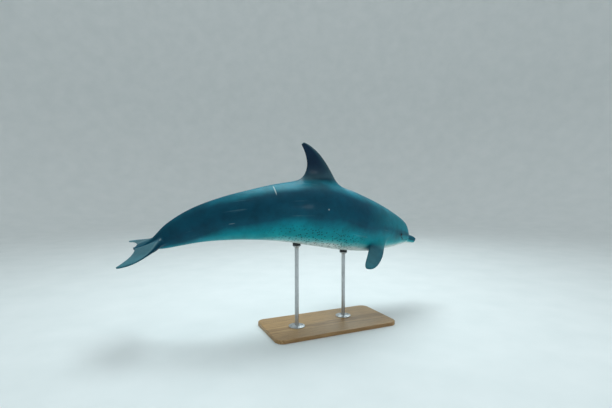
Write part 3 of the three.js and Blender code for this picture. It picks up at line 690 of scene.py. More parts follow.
# Distance from the rim, depth and half width of each fold, and 1 above the eye or -1 below it.
FOLDS = [
    (0.0055, 0.0016, 0.0016, 1), (0.0105, 0.0011, 0.0019, 1),
    (0.006, 0.0013, 0.0016, -1), (0.011, 0.0008, 0.0019, -1),
]
# Each fold, the lid's rim and the skin inside the almond also get painted shade, as in a crease.
for name, (centre, aft, up, axis) in eye_frames.items():
    near = np.flatnonzero(np.linalg.norm(skin - centre, axis=1) < EYE_REGION)
    along, height, out = ((skin[near] - centre) @ way for way in (aft, up, axis))
    flat_place = np.stack([along, height, 0 * out], 1)
    radius = np.hypot(along, height)
    ball = np.sqrt(np.clip(BALL**2 - radius**2, 0, None))
    inside = np.abs(height) < almond_edge(along, height > 0)
    rim = to_line(flat_place, rim_line) * np.where(inside, -1, 1)
    lid = np.log(np.exp(out / LID_BLEND) + np.exp((ball + LID) / LID_BLEND)) * LID_BLEND
    lid = mix(lid, out, smooth_step(*LID_ENDS, radius))
    for where, depth, wide, lid_side in FOLDS:
        fold = smooth_step(*FOLDS_END, radius) * np.clip(lid_side * height / FOLD_CORNERS, 0, 1)
        fold *= np.exp(-(((rim - where) / wide) ** 2))
        lid -= depth * fold
        groove[near] = np.maximum(groove[near], FOLD_SHADE * depth * fold)
    lid -= RIM_ROUND * np.exp(-np.clip(rim, 0, 1) / RIM_ROUND)
    raised = mix(lid, ball - TUCK, smooth_step(0, RIM_WIDTH, -rim)) - out
    skin[near] += raised[:, None] * axis
    groove[near] = np.maximum(groove[near], np.exp(-((rim / RIM_WIDTH) ** 2)))
    groove[near] = np.where(inside, 1, groove[near])
    print(name, "at", np.round(centre, 3).tolist(), f"with lids {1000 * raised[~inside].max():.1f} mm proud")

# %% [markdown]
# # Making the skin
# The shader can only paint what the mesh tells it, so each point of the skin carries its own notes: where it is on
# the straight body, how far up the flank, how far out a fin, and how much painted shade its crease or fold gets.
# They are stored as attributes, and so the markings bend and stretch with the skin and never slide.

# %% Painted stripes and patches
def soft_stripe(line, half):
    return np.exp(-((to_line(body, line, straight_outward, 0.05) / half) ** 2))


def soft_patch(centre, radii):
    return np.exp(-(((body - centre) / radii) ** 2).sum(axis=1))


# Stations and heights of both ends, count of points, half width and strength: bridle, eye to flipper, and gape.
STRIPES = [
    ((0.056, 0.128), (0.0075, 0.0035), 12, 0.011, 0.5), ((0.14, 0.23), (-0.003, -0.03), 10, 0.03, 0.35),
    ((0.112, 0.128), (-0.011, -0.003), 5, 0.01, 0.8),
]
blow_stripe = skin_point(np.linspace(0.062, 0.132, 8), np.zeros(8))  # from the melon's foot to the blowhole
stripe = 0.35 * soft_stripe(blow_stripe, 0.016)
for side in (1, -1):
    for stations, heights, count, half, strength in STRIPES:
        line = on_skin(np.linspace(*stations, count), np.linspace(*heights, count), side)
        stripe = np.maximum(stripe, strength * soft_stripe(line, half))
    eye_patch = (eye_places[side] + [0.008, 0, 0], [0.034, 0.06, 0.023], 0.9)
    fin_patch = (on_skin(np.array(0.49), np.array(0.08), side), [0.09, 0.2, 0.05], 0.75)
    for place, radii, strength in (eye_patch, fin_patch):
        stripe = np.maximum(stripe, strength * soft_patch(place, radii))
print(f"Stripes cover {100 * (stripe > 0.2).mean():.0f} percent of the points")

# %% The skin as one piece
def make_piece(name, vertices, faces, sharp=None):
    mesh = bpy.data.meshes.new(name)
    mesh.from_pydata([tuple(map(float, v)) for v in vertices], [], faces)
    mesh.shade_smooth()
    if sharp:
        mesh.set_sharp_from_angle(angle=np.radians(sharp))
    piece = bpy.data.objects.new(name, mesh)
    bpy.context.scene.collection.objects.link(piece)
    return piece


def note(piece, name, values):
    values = np.asarray(values, float)
    kind = "FLOAT_VECTOR" if values.ndim == 2 else "FLOAT"
    layer = piece.data.attributes.new(name, kind, "POINT")
    layer.data.foreach_set("vector" if values.ndim == 2 else "value", values.ravel())


share = np.clip(body[:, 0] / BODY_LENGTH, 0, 1)
rise = (body[:, 2] / BODY_LENGTH - belly(share)) / (crest(share) - belly(share))
underside = smooth_step(0.1, -0.7, straight_outward[:, 2])
dolphin = make_piece("dolphin_skin", skin, skin_faces)
markings = np.stack([share, np.clip(rise, -0.5, 1.5), underside], 1)
skin_notes = dict(body_place=body, markings=markings, reach=reach, groove=groove, stripe=stripe)
for name, values in skin_notes.items():
    note(dolphin, name, values)
skin_tree = BVHTree.FromPolygons([tuple(map(float, v)) for v in skin], skin_faces)
print("Skin box", [[round(float(v), 3) for v in corner] for corner in (skin.min(axis=0), skin.max(axis=0))])

# %% [markdown]
# # The eyes
# Only a small part of the ball shows. It is turned on its own axis like a lens, and its front stands a little proud
# as the cornea does. The pupil of a dolphin in bright light is a drooping slit shaped like a U, so the piece also
# carries its own coordinates, across and up the eye, for the shader to draw it.

# %% Turned shapes
def faces_between(rings):
    """Four-sided faces between each ring of points and the next one up."""
    faces = []
    for low, high in zip(rings[:-1], rings[1:]):
        for i in range(len(low)):
            j = (i + 1) % len(low)
            faces.append([low[i], low[j], high[j], high[i]])
    return faces


def rings_of(count, segments, first=0):
    return [range(first + k * segments, first + (k + 1) * segments) for k in range(count)]


def turned(profile, segments, centre=(0, 0, 0), ways=((1, 0, 0), (0, 1, 0), (0, 0, 1))):
    """A closed lathe shape. The profile runs from the bottom to the top of the axis as (radius, height)."""
    ways, vertices, rings = np.array(ways, float), [], []
    angles = np.arange(segments) * 2 * np.pi / segments
    for radius, height in profile:
        if radius < 1e-9:
            rings.append([len(vertices)] * segments)
            vertices.append([0, 0, height])
        else:
            rings.append(list(range(len(vertices), len(vertices) + segments)))
            vertices += [[radius * np.cos(a), radius * np.sin(a), height] for a in angles]
    faces = [[v for k, v in enumerate(face) if v != face[k - 1]] for face in faces_between(rings)]
    if np.linalg.det(ways) < 0:
        faces = [face[::-1] for face in faces]
    return np.array(vertices) @ ways + centre, faces


GLASS, CORNEA = 0.0195, 0.0004  # the ball's radius, and how far its cornea stands proud
# Angles from the axis: coarse behind and fine in front, where the ball swells into the cornea.
polar = np.concatenate([np.linspace(np.pi, 0.9, 12), np.linspace(0.85, 0.0, 22)])
CORNEA_EDGE = (0.62, 0.45)
swollen = GLASS + CORNEA * smooth_step(*CORNEA_EDGE, polar)
profile = [(r * np.sin(p), r * np.cos(p)) for p, r in zip(polar, swollen)]
profile[0], profile[-1] = (0, profile[0][1]), (0, profile[-1][1])
eyes = []
for name, (centre, *ways) in eye_frames.items():
    vertices, faces = turned(profile, 48, centre, ways)
    eye = make_piece(name.replace("eye", "eyeball"), vertices, faces)
    note(eye, "gaze", np.stack([(vertices - centre) @ way for way in ways], 1) / GLASS)
    eyes.append((eye, name))
print(f"Two eyes of {len(vertices)} points each")

# %% [markdown]
# # The stand
# A cast animal of this size is carried at its own balance by two short steel rods that rise from an oak slab. Each
# rod ends in a shallow cup with a rubber pad, and the pad is cut to the belly it carries. The pad's top is found by
# casting rays up at the skin, because a flat pad would touch at one point only.

# %% The oak slab
def rounded_outline(half_x, half_y, corner, steps=14):
    points = []
    for quarter, (x, y) in enumerate([(1, 1), (-1, 1), (-1, -1), (1, -1)]):
        for angle in np.linspace(quarter, quarter + 1, steps) * np.pi / 2:
            middle = np.array([x * (half_x - corner), y * (half_y - corner)])
            points.append(middle + corner * np.array([np.cos(angle), np.sin(angle)]))
    return np.array(points)


EDGE, CHAMFER, CORNER = 0.004, 0.0015, 0.06
low, high = (np.array(corner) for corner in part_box("stand_base"))
turn = np.linspace(0, np.pi / 2, 7)
steps_up = [(CHAMFER, low[2]), (0, low[2] + CHAMFER)]
steps_up += [(EDGE - EDGE * np.cos(a), high[2] - EDGE + EDGE * np.sin(a)) for a in turn]
outlines = [rounded_outline(high[0] - inset, high[1] - inset, CORNER - inset) for inset, _ in steps_up]
vertices = [[x, y, z] for outline, (_, z) in zip(outlines, steps_up) for x, y in outline]
rings = rings_of(len(steps_up), len(outlines[0]))
faces = faces_between(rings) + [list(rings[0])[::-1], list(rings[-1])]
slab = make_piece("stand_slab", vertices, faces, sharp=40)
print("Slab", [round(float(v), 3) for v in high - low])


# %% Flanges, rods and cups
def box_of(node):
    low, high = (np.array(corner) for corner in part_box(node))
    return (low[:2] + high[:2]) / 2, (high[:2] - low[:2]).max() / 2, low[2], high[2]


def rounded_profile(radius, bottom, top, rounding, steps=4):
    turn = np.linspace(0, np.pi / 2, steps + 1)
    lower = [(radius - rounding + rounding * np.sin(a), bottom + rounding - rounding * np.cos(a)) for a in turn]
    upper = [(radius - rounding + rounding * np.cos(a), top - rounding + rounding * np.sin(a)) for a in turn]
    return [(0, bottom)] + lower + upper + [(0, top)]


SEAT = 0.0055  # the flat top of a flange, where its screws sit
GROOVE_AT, GROOVE_HALF, GROOVE_DEPTH = 0.012, 0.0012, 0.0009  # the turned line near each end of a rod
CUP_HEIGHT, CUP_FOOT = 0.014, 0.018
stand_pieces = []


def add_turned(name, end, profile, segments, centre, node):
    vertices, faces = turned(profile, segments, (*centre, 0))
    stand_pieces.append((make_piece(f"stand_{name}_{end}", vertices, faces, 30), f"stand_{node}_{end}", "steel"))


def foot_profile(radius, rod, bottom, top):
    rim = [(0, 0), (radius - 0.001, 0), (radius, 0.001), (radius, 0.0035), (radius - 0.0008, 0.0048)]
    rim += [(radius - 0.003, SEAT), (rod + 0.011, SEAT), (rod + 0.0085, 0.0062)]
    collar = [(rod + 0.0068, top - 0.0008), (rod + 0.0055, top), (0, top)]
    return [(r, bottom + up) for r, up in rim] + collar


def post_profile(radius, bottom, top):
    profile = rounded_profile(radius, bottom, top, 0.0008)
    for z in (bottom + GROOVE_AT, top - GROOVE_AT):
        place = next(i for i, point in enumerate(profile) if point[1] > z)
        line = [(radius, z - GROOVE_HALF), (radius - GROOVE_DEPTH, z), (radius, z + GROOVE_HALF)]
        profile[place:place] = line
    return profile


def cup_profile(radius, bottom):
    lip = [(0.004, 0.006), (0.0006, 0.0035), (0, 0.001), (0.0012, 0), (0.0026, 0.0012), (radius, 0.0012)]
    foot = [(0, bottom), (CUP_FOOT - 0.001, bottom), (CUP_FOOT, bottom + 0.001)]
    return foot + [(radius - inset, bottom + CUP_HEIGHT - below) for inset, below in lip]


print(f"A screw seat {1000 * SEAT} mm above the slab and cups {1000 * CUP_HEIGHT:.0f} mm high")

# %% Rubber pads, cut to the belly
PAD_INSET, PAD_GAP, PAD_SEGMENTS = 0.003, 0.0003, 64
# Share of the pad's radius and of its height, up the side and then in across the top.
PAD_RINGS = [(1.0, 0.0), (1.02, 0.25), (1.025, 0.5), (1.02, 0.75), (1.0, 0.93), (0.985, 0.985), (0.96, 1.0)]
PAD_RINGS += [(share_out, 1.0) for share_out in (0.85, 0.7, 0.5, 0.3, 0.12)]


def belly_above(x, y, z):
    return skin_tree.ray_cast(Vector((x, y, z)), Vector((0, 0, 1)))[0].z - PAD_GAP


def pad_shape(x, y, radius, bottom):
    seat = bottom + CUP_HEIGHT - 0.001
    vertices = [[x, y, seat]]
    for share_out, share_up in PAD_RINGS:
        out = (radius - PAD_INSET) * share_out
        for angle in np.arange(PAD_SEGMENTS) * 2 * np.pi / PAD_SEGMENTS:
            px, py = x + out * np.cos(angle), y + out * np.sin(angle)
            vertices.append([px, py, mix(seat, belly_above(px, py, bottom), share_up)])
    vertices.append([x, y, belly_above(x, y, bottom)])
    rings, after = rings_of(len(PAD_RINGS), PAD_SEGMENTS, 1), np.roll(range(PAD_SEGMENTS), -1).tolist()
    below = [[0, rings[0][j], rings[0][i]] for i, j in enumerate(after)]
    above = [[rings[-1][i], rings[-1][j], len(vertices) - 1] for i, j in enumerate(after)]
    return vertices, below + faces_between(rings) + above


print(f"Pads of {len(PAD_RINGS)} rings")

# %% The fittings at each end
for end in ("front", "rear"):
    centre, radius, *heights = box_of(f"stand_flange_{end}")
    rod_centre, rod, *rod_heights = box_of(f"stand_rod_{end}")
    add_turned("foot", end, foot_profile(radius, rod, *heights), 72, centre, "flange")
    add_turned("post", end, post_profile(rod, *rod_heights), 48, rod_centre, "rod")
    centre, radius, bottom, _ = box_of(f"stand_saddle_{end}")
    add_turned("cup", end, cup_profile(radius, bottom), 64, centre, "saddle")
    vertices, faces = pad_shape(*centre, radius, bottom)
    stand_pieces.append((make_piece(f"stand_pad_{end}", vertices, faces, 35), f"stand_saddle_{end}", "rubber"))
    print(f"{end}: cup at {bottom:.3f} m, pad top {vertices[-1][2]:.3f} m")

# %% [markdown]
# # Colours and nodes
# Colours are picked as on a screen, in sRGB, but a shader works in linear light. One function turns the one into the
# other, so that every hex value below looks as it reads. A second one adds a node, sets it and links it, because a
# material is nothing but that, many times over. The last two start a material and link its end to its shader.

# %% Helpers for materials
def colour(code):
    channels = [int(code[i : i + 2], 16) / 255 for i in (1, 3, 5)]
    return (*[c / 12.92 if c <= 0.04045 else ((c + 0.055) / 1.055) ** 2.4 for c in channels], 1.0)


def add_node(tree, kind, inputs=None, stops=(), **settings):
    """Inputs are numbers, colours, sockets, or nodes, which stand for their first output. Stops fill a ramp."""
    node = tree.nodes.new(kind)
    for key, value in settings.items():
        setattr(node, key, value)
    for key, value in (inputs or {}).items():
        if isinstance(value, bpy.types.Node):
            value = value.outputs[0]
        if isinstance(value, bpy.types.NodeSocket):
            tree.links.new(value, node.inputs[key])
        else:
            node.inputs[key].default_value = value
    for i, (place, shade) in enumerate(stops):
        stop = node.color_ramp.elements[i] if i < 2 else node.color_ramp.elements.new(place)
        stop.position, stop.color = place, colour(shade) if isinstance(shade, str) else (shade, shade, shade, 1)
    return node


def new_material(name, **surface):
    material = bpy.data.materials.new(name)
    material.use_nodes = True
    shader = material.node_tree.nodes["Principled BSDF"]
    for key, value in surface.items():
        shader.inputs[key.replace("_", " ")].default_value = value
    return material, material.node_tree, shader


def dress(tree, shader, tint, roughness=None, normal=None):
    """Links what a material's nodes have worked out to its shader."""
    for socket, end in (("Base Color", tint), ("Roughness", roughness), ("Normal", normal)):
        if end is not None:
            tree.links.new(end.outputs[0] if isinstance(end, bpy.types.Node) else end, shader.inputs[socket])


MIX_A, MIX_B, MIX_OUT = 6, 7, 2  # the sockets of a Mix node that is set to colours
COLOURS, TINTED = dict(data_type="RGBA"), dict(data_type="RGBA", blend_type="MULTIPLY")
TIMES, SMOOTH = dict(operation="MULTIPLY"), dict(interpolation_type="SMOOTHSTEP")
print("The skin's teal in linear light:", [round(v, 3) for v in colour("#0594a2")])

# %% [markdown]
# # The skin's markings
# A live dolphin's skin is rubber-smooth and wet. It is countershaded: a dark back, a lighter flank and a pale belly,
# so that it vanishes from above and from below. A museum model is cast in resin and sprayed in thin coats under a
# satin varnish. The border between the shades isn't a line, so noise moves it up and down, and it drops away
# towards the tail.

# %% Cast resin skin, sprayed and satin varnished
# Matt paint over resin has an IOR near 1.4. The thin satin varnish gives soft, wet-looking highlights over a
# slightly rougher paint, and the paint's low specular level keeps the dark back dark.
satin_paint = dict(IOR=1.4, Specular_IOR_Level=0.13, Coat_Weight=0.06, Coat_Roughness=0.15)
flesh, t, skin_shader = new_material("sprayed_resin_skin", **satin_paint)
place = add_node(t, "ShaderNodeAttribute", attribute_name="body_place").outputs["Vector"]
marks = add_node(t, "ShaderNodeAttribute", attribute_name="markings").outputs["Vector"]
share_note, rise_note, under_note = add_node(t, "ShaderNodeSeparateXYZ", {0: marks}).outputs
reach_note, crease_shade_note, stripe_note = (
    add_node(t, "ShaderNodeAttribute", attribute_name=name).outputs["Fac"] for name in ("reach", "groove", "stripe")
)
# The border's drop along the body: grey 0.5 leaves it, and lighter draws the dark shade down.
drop = [(0.0, 0.44), (0.05, 0.44), (0.15, 0.41), (0.3, 0.5), (0.6, 0.5), (0.74, 0.62), (0.83, 0.84), (1.0, 0.9)]
drop = add_node(t, "ShaderNodeValToRGB", {0: share_note}, drop)
slow = add_node(t, "ShaderNodeTexNoise", {"Vector": place, "Scale": 3.5, "Detail": 2.0})  # 300 mm waves
quick = add_node(t, "ShaderNodeTexNoise", {"Vector": place, "Scale": 28.0, "Detail": 3.0})  # 35 mm waves
WAVES = ((drop, 0.8), (slow, 0.16), (quick, 0.05))
level = rise_note
for wave, strength in WAVES:
    level = add_node(t, "ShaderNodeMath", {0: wave, 1: strength, 2: level}, operation="MULTIPLY_ADD")
average = sum(strength for _, strength in WAVES) / 2
level = add_node(t, "ShaderNodeMath", {0: level, 1: average}, operation="SUBTRACT")
shades = [
    (0.0, "#e0ebe8"), (0.05, "#d5e6e3"), (0.1, "#7cc8ca"), (0.17, "#1fa6ae"), (0.3, "#0594a2"),
    (0.4, "#077587"), (0.48, "#0a546a"), (0.7, "#08485e"), (1.0, "#094d63"),
]
painted = add_node(t, "ShaderNodeValToRGB", {0: level}, shades).outputs[0]
print(f"Countershading from {shades[0][1]} to {shades[-1][1]}")

# %% Painted crest highlight and paler melon
coats = []  # sprayed one over the other: the mask, the shade and the way of blending of each
# The crest is a little paler: painted light from above. The melon and the neck are lighter than the flank behind.
crest_highlight_level = add_node(t, "ShaderNodeMath", {0: slow, 1: 0.12, 2: rise_note}, operation="MULTIPLY_ADD")
# Where along the body the painted highlight on the crest shows, and where the paler melon does.
CREST_HIGHLIGHT_ALONG = [(0.04, 0.0), (0.09, 0.45), (0.66, 0.7), (0.8, 0.1)]
MELON_ALONG = [(0.045, 0.2), (0.07, 0.85), (0.17, 0.65), (0.34, 0.0)]
for up, low, high, stops, shade in (
    (crest_highlight_level, 0.9, 1.0, CREST_HIGHLIGHT_ALONG, "#1591a4"),
    (level, 0.38, 0.6, MELON_ALONG, "#0d909f"),
):
    mask = add_node(t, "ShaderNodeMapRange", {"Value": up, "From Min": low, "From Max": high}, **SMOOTH)
    along = add_node(t, "ShaderNodeValToRGB", {0: share_note}, stops)
    coats.append((add_node(t, "ShaderNodeMath", {0: mask, 1: along}, **TIMES), shade, "MIX"))
print(f"{len(coats)} paler coats")

# %% Fins, stripes and undersides
FIN_SHADES = [
    (0.0, "#06566a"), (0.38, "#06566a"), (0.42, "#0d2c44"),
    (0.6, "#0d2c44"), (0.9, "#06394d"), (1.0, "#06485e"),
]
fin_colour = add_node(t, "ShaderNodeValToRGB", {0: share_note}, FIN_SHADES)
fin_mask = {"Value": reach_note, "From Min": 0.0, "From Max": 0.2}
fin_mask = add_node(t, "ShaderNodeMapRange", fin_mask, **SMOOTH)
# The outer half of a flipper and of a fluke is thinner and paler, and so is the underside of each.
NOT_DORSAL = [(0.38, 0.4), (0.4, 0.0), (0.86, 0.0), (0.9, 0.4)]
not_dorsal = add_node(t, "ShaderNodeValToRGB", {0: share_note}, NOT_DORSAL)
thin = add_node(t, "ShaderNodeMapRange", {"Value": reach_note, "From Min": 0.35, "From Max": 1.0})
thin = add_node(t, "ShaderNodeMath", {0: thin, 1: not_dorsal}, **TIMES)
below = add_node(t, "ShaderNodeMath", {0: under_note, 1: fin_mask}, **TIMES)
below = add_node(t, "ShaderNodeMath", {0: below, 1: 0.35}, **TIMES)
coats += [(fin_mask, fin_colour.outputs[0], "MIX"), (thin, "#0a8593", "MIX"), (below, "#6fa0a6", "MIX")]
coats.append((stripe_note, "#0f4354", "MIX"))
print("Fin shades:", sorted({shade for _, shade in FIN_SHADES}))

# %% Speckles on the belly
# Adults of the warm seas grow dark flecks 5 to 12 mm wide on the belly and the lower flank.
FLECKS = 58.0  # to the metre, so 17 mm apart
FLECKS_ALONG = [(0.3, 0.0), (0.37, 1.0), (0.56, 1.0), (0.68, 0.0)]
FLECKS_UP = [(0.0, 0.6), (0.06, 1.0), (0.25, 0.9), (0.4, 0.0)]
cells = add_node(t, "ShaderNodeTexVoronoi", {"Vector": place, "Scale": FLECKS, "Randomness": 1.0})
flecks = add_node(t, "ShaderNodeMapRange", {"Value": cells, "From Min": 0.42, "From Max": 0.28}, **SMOOTH)
some = add_node(t, "ShaderNodeMath", {0: cells.outputs["Color"], 1: 0.3}, operation="GREATER_THAN")
along = add_node(t, "ShaderNodeValToRGB", {0: share_note}, FLECKS_ALONG)
up = add_node(t, "ShaderNodeValToRGB", {0: rise_note}, FLECKS_UP)
on_body = add_node(t, "ShaderNodeMath", {0: 0.75, 1: fin_mask}, operation="SUBTRACT", use_clamp=True)
for mask in (some, along, up, on_body):
    flecks = add_node(t, "ShaderNodeMath", {0: flecks, 1: mask}, **TIMES)
coats.append((flecks, "#0c3541", "MIX"))
print(f"Flecks every {1000 / FLECKS:.0f} mm")

# %% Scratches and scars
# Other dolphins' teeth leave rakes: thin pale lines 8 to 12 mm apart, here drawn 2 mm wide so that they show.
leaning = {"Vector": place, "Rotation": (0.0, 0.28, 0.0), "Scale": (2.2, 2.2, 95.0)}
leaning = add_node(t, "ShaderNodeMapping", leaning)
rakes = add_node(t, "ShaderNodeTexNoise", {"Vector": leaning, "Scale": 1.0, "Detail": 2.0, "Roughness": 0.6})
rakes = add_node(t, "ShaderNodeMapRange", {"Value": rakes, "From Min": 0.63, "From Max": 0.7}, **SMOOTH)
areas = add_node(t, "ShaderNodeTexNoise", {"Vector": place, "Scale": 5.0, "Detail": 1.0})
areas = add_node(t, "ShaderNodeMapRange", {"Value": areas, "From Min": 0.54, "From Max": 0.66, "To Max": 0.13})
coats.append((add_node(t, "ShaderNodeMath", {0: rakes, 1: areas}, **TIMES), "#8fb4bb", "MIX"))
# Share of the length and of the height, half sizes along and up, and strength of each healed scar on the right.
SCARS = [
    (0.614, 0.93, 0.0035, 0.03, 0.8), (0.485, 0.61, 0.006, 0.006, 0.5),
    (0.729, 0.44, 0.02, 0.003, 0.2), (0.922, 0.62, 0.008, 0.006, 0.25),
]
ACROSS = 1 / 12  # and its half size across the body, so that a scar stays on its own side
for at, height, along, up, strength in SCARS:
    height = mix(belly(at), crest(at), height)
    scar_place = tuple(map(float, on_skin(np.array(at), np.array(height), -1)))
    gap = add_node(t, "ShaderNodeVectorMath", {0: place, 1: scar_place}, operation="SUBTRACT")
    gap = add_node(t, "ShaderNodeVectorMath", {0: gap, 1: (1 / along, 1 / ACROSS, 1 / up)}, **TIMES)
    gap = add_node(t, "ShaderNodeVectorMath", {0: gap}, operation="LENGTH").outputs["Value"]
    scar = {"Value": gap, "From Min": 1.2, "From Max": 0.6, "To Max": strength}
    coats.append((add_node(t, "ShaderNodeMapRange", scar, **SMOOTH), "#c3d6d6", "MIX"))
print(f"{len(SCARS)} scars")

# %% Mottling, painted shade in the grooves, and surface
# Sprayed coats are never even: the paint clouds over 100 mm and has a fine grain of a few millimetres.
clouds = add_node(t, "ShaderNodeTexNoise", {"Vector": place, "Scale": 9.0, "Detail": 5.0, "Roughness": 0.62})
clouds = add_node(t, "ShaderNodeValToRGB", {0: clouds}, [(0.32, 0.66), (0.66, 1.0)])
# The lines, folds and lids get painted shade, as shade falls in a crease.
painted_crease_shade = add_node(t, "ShaderNodeMath", {0: crease_shade_note, 1: 0.82}, **TIMES)
coats += [(1.0, clouds.outputs[0], "MULTIPLY"), (painted_crease_shade, "#101d25", "MIX")]
for mask, shade, blend in coats:
    coat = {0: mask, MIX_A: painted, MIX_B: colour(shade) if isinstance(shade, str) else shade}
    painted = add_node(t, "ShaderNodeMix", coat, data_type="RGBA", blend_type=blend).outputs[MIX_OUT]
gloss = add_node(t, "ShaderNodeMapRange", {"Value": quick, "To Min": 0.38, "To Max": 0.52})
# The skin's ridges are 0.5 mm apart and too fine to show, so they are drawn as a grain of 5 mm, 0.2 mm deep.
grain = add_node(t, "ShaderNodeTexNoise", {"Vector": place, "Scale": 200.0, "Detail": 2.0})
grain = add_node(t, "ShaderNodeBump", {"Strength": 0.35, "Distance": 0.0006, "Height": grain})
swell = add_node(t, "ShaderNodeBump", {"Strength": 0.5, "Distance": 0.004, "Height": clouds, "Normal": grain})
dress(t, skin_shader, painted, gloss, swell)
print(f"{len(coats)} coats, and {len(t.nodes)} nodes in the skin's material")

# %% [markdown]
# # The other finishes
# The eyes of a mounted model are glass, painted from behind. The stand is oiled oak with brushed stainless steel
# fittings and black rubber pads. Each pattern is worked out from a real size.

# %% Painted glass eye
# Glass over paint: nearly black from afar, with a brown iris and a sharp highlight close up. The paint lies behind
# the glass, so it adds little gloss of its own.
glass = dict(Roughness=0.3, IOR=1.36, Specular_IOR_Level=0.05, Coat_Weight=0.7, Coat_Roughness=0.02)
glass_eye, t, shader = new_material("painted_glass_eye", **glass)
gaze = add_node(t, "ShaderNodeAttribute", attribute_name="gaze").outputs["Vector"]
flat_gaze = add_node(t, "ShaderNodeVectorMath", {0: gaze, 1: (1, 1, 0)}, **TIMES)
from_axis = add_node(t, "ShaderNodeVectorMath", {0: flat_gaze}, operation="LENGTH").outputs["Value"]
rings_of_eye = [
    (0.0, "#1d1209"), (0.34, "#29190c"), (0.5, "#170e08"),
    (0.58, "#0b0705"), (0.66, "#0e0b0a"), (0.8, "#161312"),
]
iris = add_node(t, "ShaderNodeValToRGB", {0: from_axis}, rings_of_eye)
# The fibres of the iris are 0.1 to 1 mm wide and run outwards, so the noise is read on the direction alone.
direction = add_node(t, "ShaderNodeVectorMath", {0: flat_gaze}, operation="NORMALIZE")
fibres = add_node(t, "ShaderNodeTexNoise", {"Vector": direction, "Scale": 9.0, "Detail": 4.0})
fibres = add_node(t, "ShaderNodeValToRGB", {0: fibres}, [(0.3, 0.45), (0.7, 1.0)])
iris = add_node(t, "ShaderNodeMix", {0: 0.8, MIX_A: iris.outputs[0], MIX_B: fibres.outputs[0]}, **TINTED)
# The pupil is an oval with a flap that hangs into it from above, which leaves a drooping slit.
# Middle, half sizes and soft edge of each, as shares of the ball's radius.
OVAL, FLAP = ((0, -0.03, 0), (0.27, 0.17), (1.05, 0.95)), ((0, 0.12, 0), (0.2, 0.17), (0.95, 1.05))
masks = []
for middle, (half_across, half_up), (outer, inner) in (OVAL, FLAP):
    gap = add_node(t, "ShaderNodeVectorMath", {0: flat_gaze, 1: middle}, operation="SUBTRACT")
    gap = add_node(t, "ShaderNodeVectorMath", {0: gap, 1: (1 / half_across, 1 / half_up, 0)}, **TIMES)
    gap = add_node(t, "ShaderNodeVectorMath", {0: gap}, operation="LENGTH").outputs["Value"]
    masks.append(add_node(t, "ShaderNodeMapRange", {"Value": gap, "From Min": outer, "From Max": inner}))
pupil = add_node(t, "ShaderNodeMath", dict(enumerate(masks)), **TIMES)
eye_paint = {0: pupil, MIX_A: iris.outputs[MIX_OUT], MIX_B: colour("#040506")}
dress(t, shader, add_node(t, "ShaderNodeMix", eye_paint, **COLOURS).outputs[MIX_OUT])
print(f"The eye's material has {len(t.nodes)} nodes")

# %% Oiled oak
# Oak planks, glued side by side, planed and oiled: satin, with open pores that run along the grain.
PLANK = 0.115
oak, t, shader = new_material("oiled_oak", IOR=1.5, Coat_Weight=0.062, Coat_Roughness=0.3)
spot = add_node(t, "ShaderNodeTexCoord").outputs["Object"]
axes = add_node(t, "ShaderNodeSeparateXYZ", {0: spot})
board = add_node(t, "ShaderNodeMath", {0: axes.outputs["Y"], 1: PLANK}, operation="DIVIDE")
board = add_node(t, "ShaderNodeMath", {0: board}, operation="FLOOR")
chance = add_node(t, "ShaderNodeTexWhiteNoise", {"W": board}, noise_dimensions="1D")
# Each board is cut from another place of the trunk.
shift = add_node(t, "ShaderNodeVectorMath", {0: chance.outputs["Color"], 1: (3.0, 0.12, 0.16)}, **TIMES)
in_board = add_node(t, "ShaderNodeVectorMath", {0: spot, 1: shift}, operation="ADD")
trunk = {"Vector": in_board, "Scale": (0.12, 1.0, 1.0), "Rotation": (0.35, 0.02, 0.03)}
trunk = add_node(t, "ShaderNodeMapping", trunk)
# The growth rings are 12 mm apart and the pores 4 by 110 mm, both drawn coarser than in real oak so that they show.
growth = {"Vector": trunk, "Scale": 26.0, "Distortion": 3.2, "Detail": 3.0, "Detail Scale": 1.4}
growth = add_node(t, "ShaderNodeTexWave", growth, wave_type="RINGS", rings_direction="X")
long_grain = add_node(t, "ShaderNodeMapping", {"Vector": in_board, "Scale": (9.0, 260.0, 260.0)})
pores = add_node(t, "ShaderNodeTexNoise", {"Vector": long_grain, "Scale": 1.0, "Detail": 3.0})
WOOD_TONES = [(0.0, "#a57c4b"), (0.45, "#bf9560"), (0.8, "#cfa873"), (1.0, "#b58a55")]
wood = add_node(t, "ShaderNodeValToRGB", {0: growth}, WOOD_TONES)
pore_dark = add_node(t, "ShaderNodeValToRGB", {0: pores}, [(0.34, 0.5), (0.47, 1.0)])
wood = add_node(t, "ShaderNodeMix", {0: 0.75, MIX_A: wood.outputs[0], MIX_B: pore_dark.outputs[0]}, **TINTED)
board_tone = add_node(t, "ShaderNodeMapRange", {"Value": chance, "To Min": 0.82, "To Max": 1.06})
wood = add_node(t, "ShaderNodeHueSaturation", {"Color": wood.outputs[MIX_OUT], "Value": board_tone})
satin = add_node(t, "ShaderNodeMapRange", {"Value": pores, "To Min": 0.5, "To Max": 0.34})
wood_bump = add_node(t, "ShaderNodeBump", {"Strength": 0.4, "Distance": 0.0005, "Height": pore_dark})
dress(t, shader, wood, satin, wood_bump)
print(f"The oak's material has {len(t.nodes)} nodes")

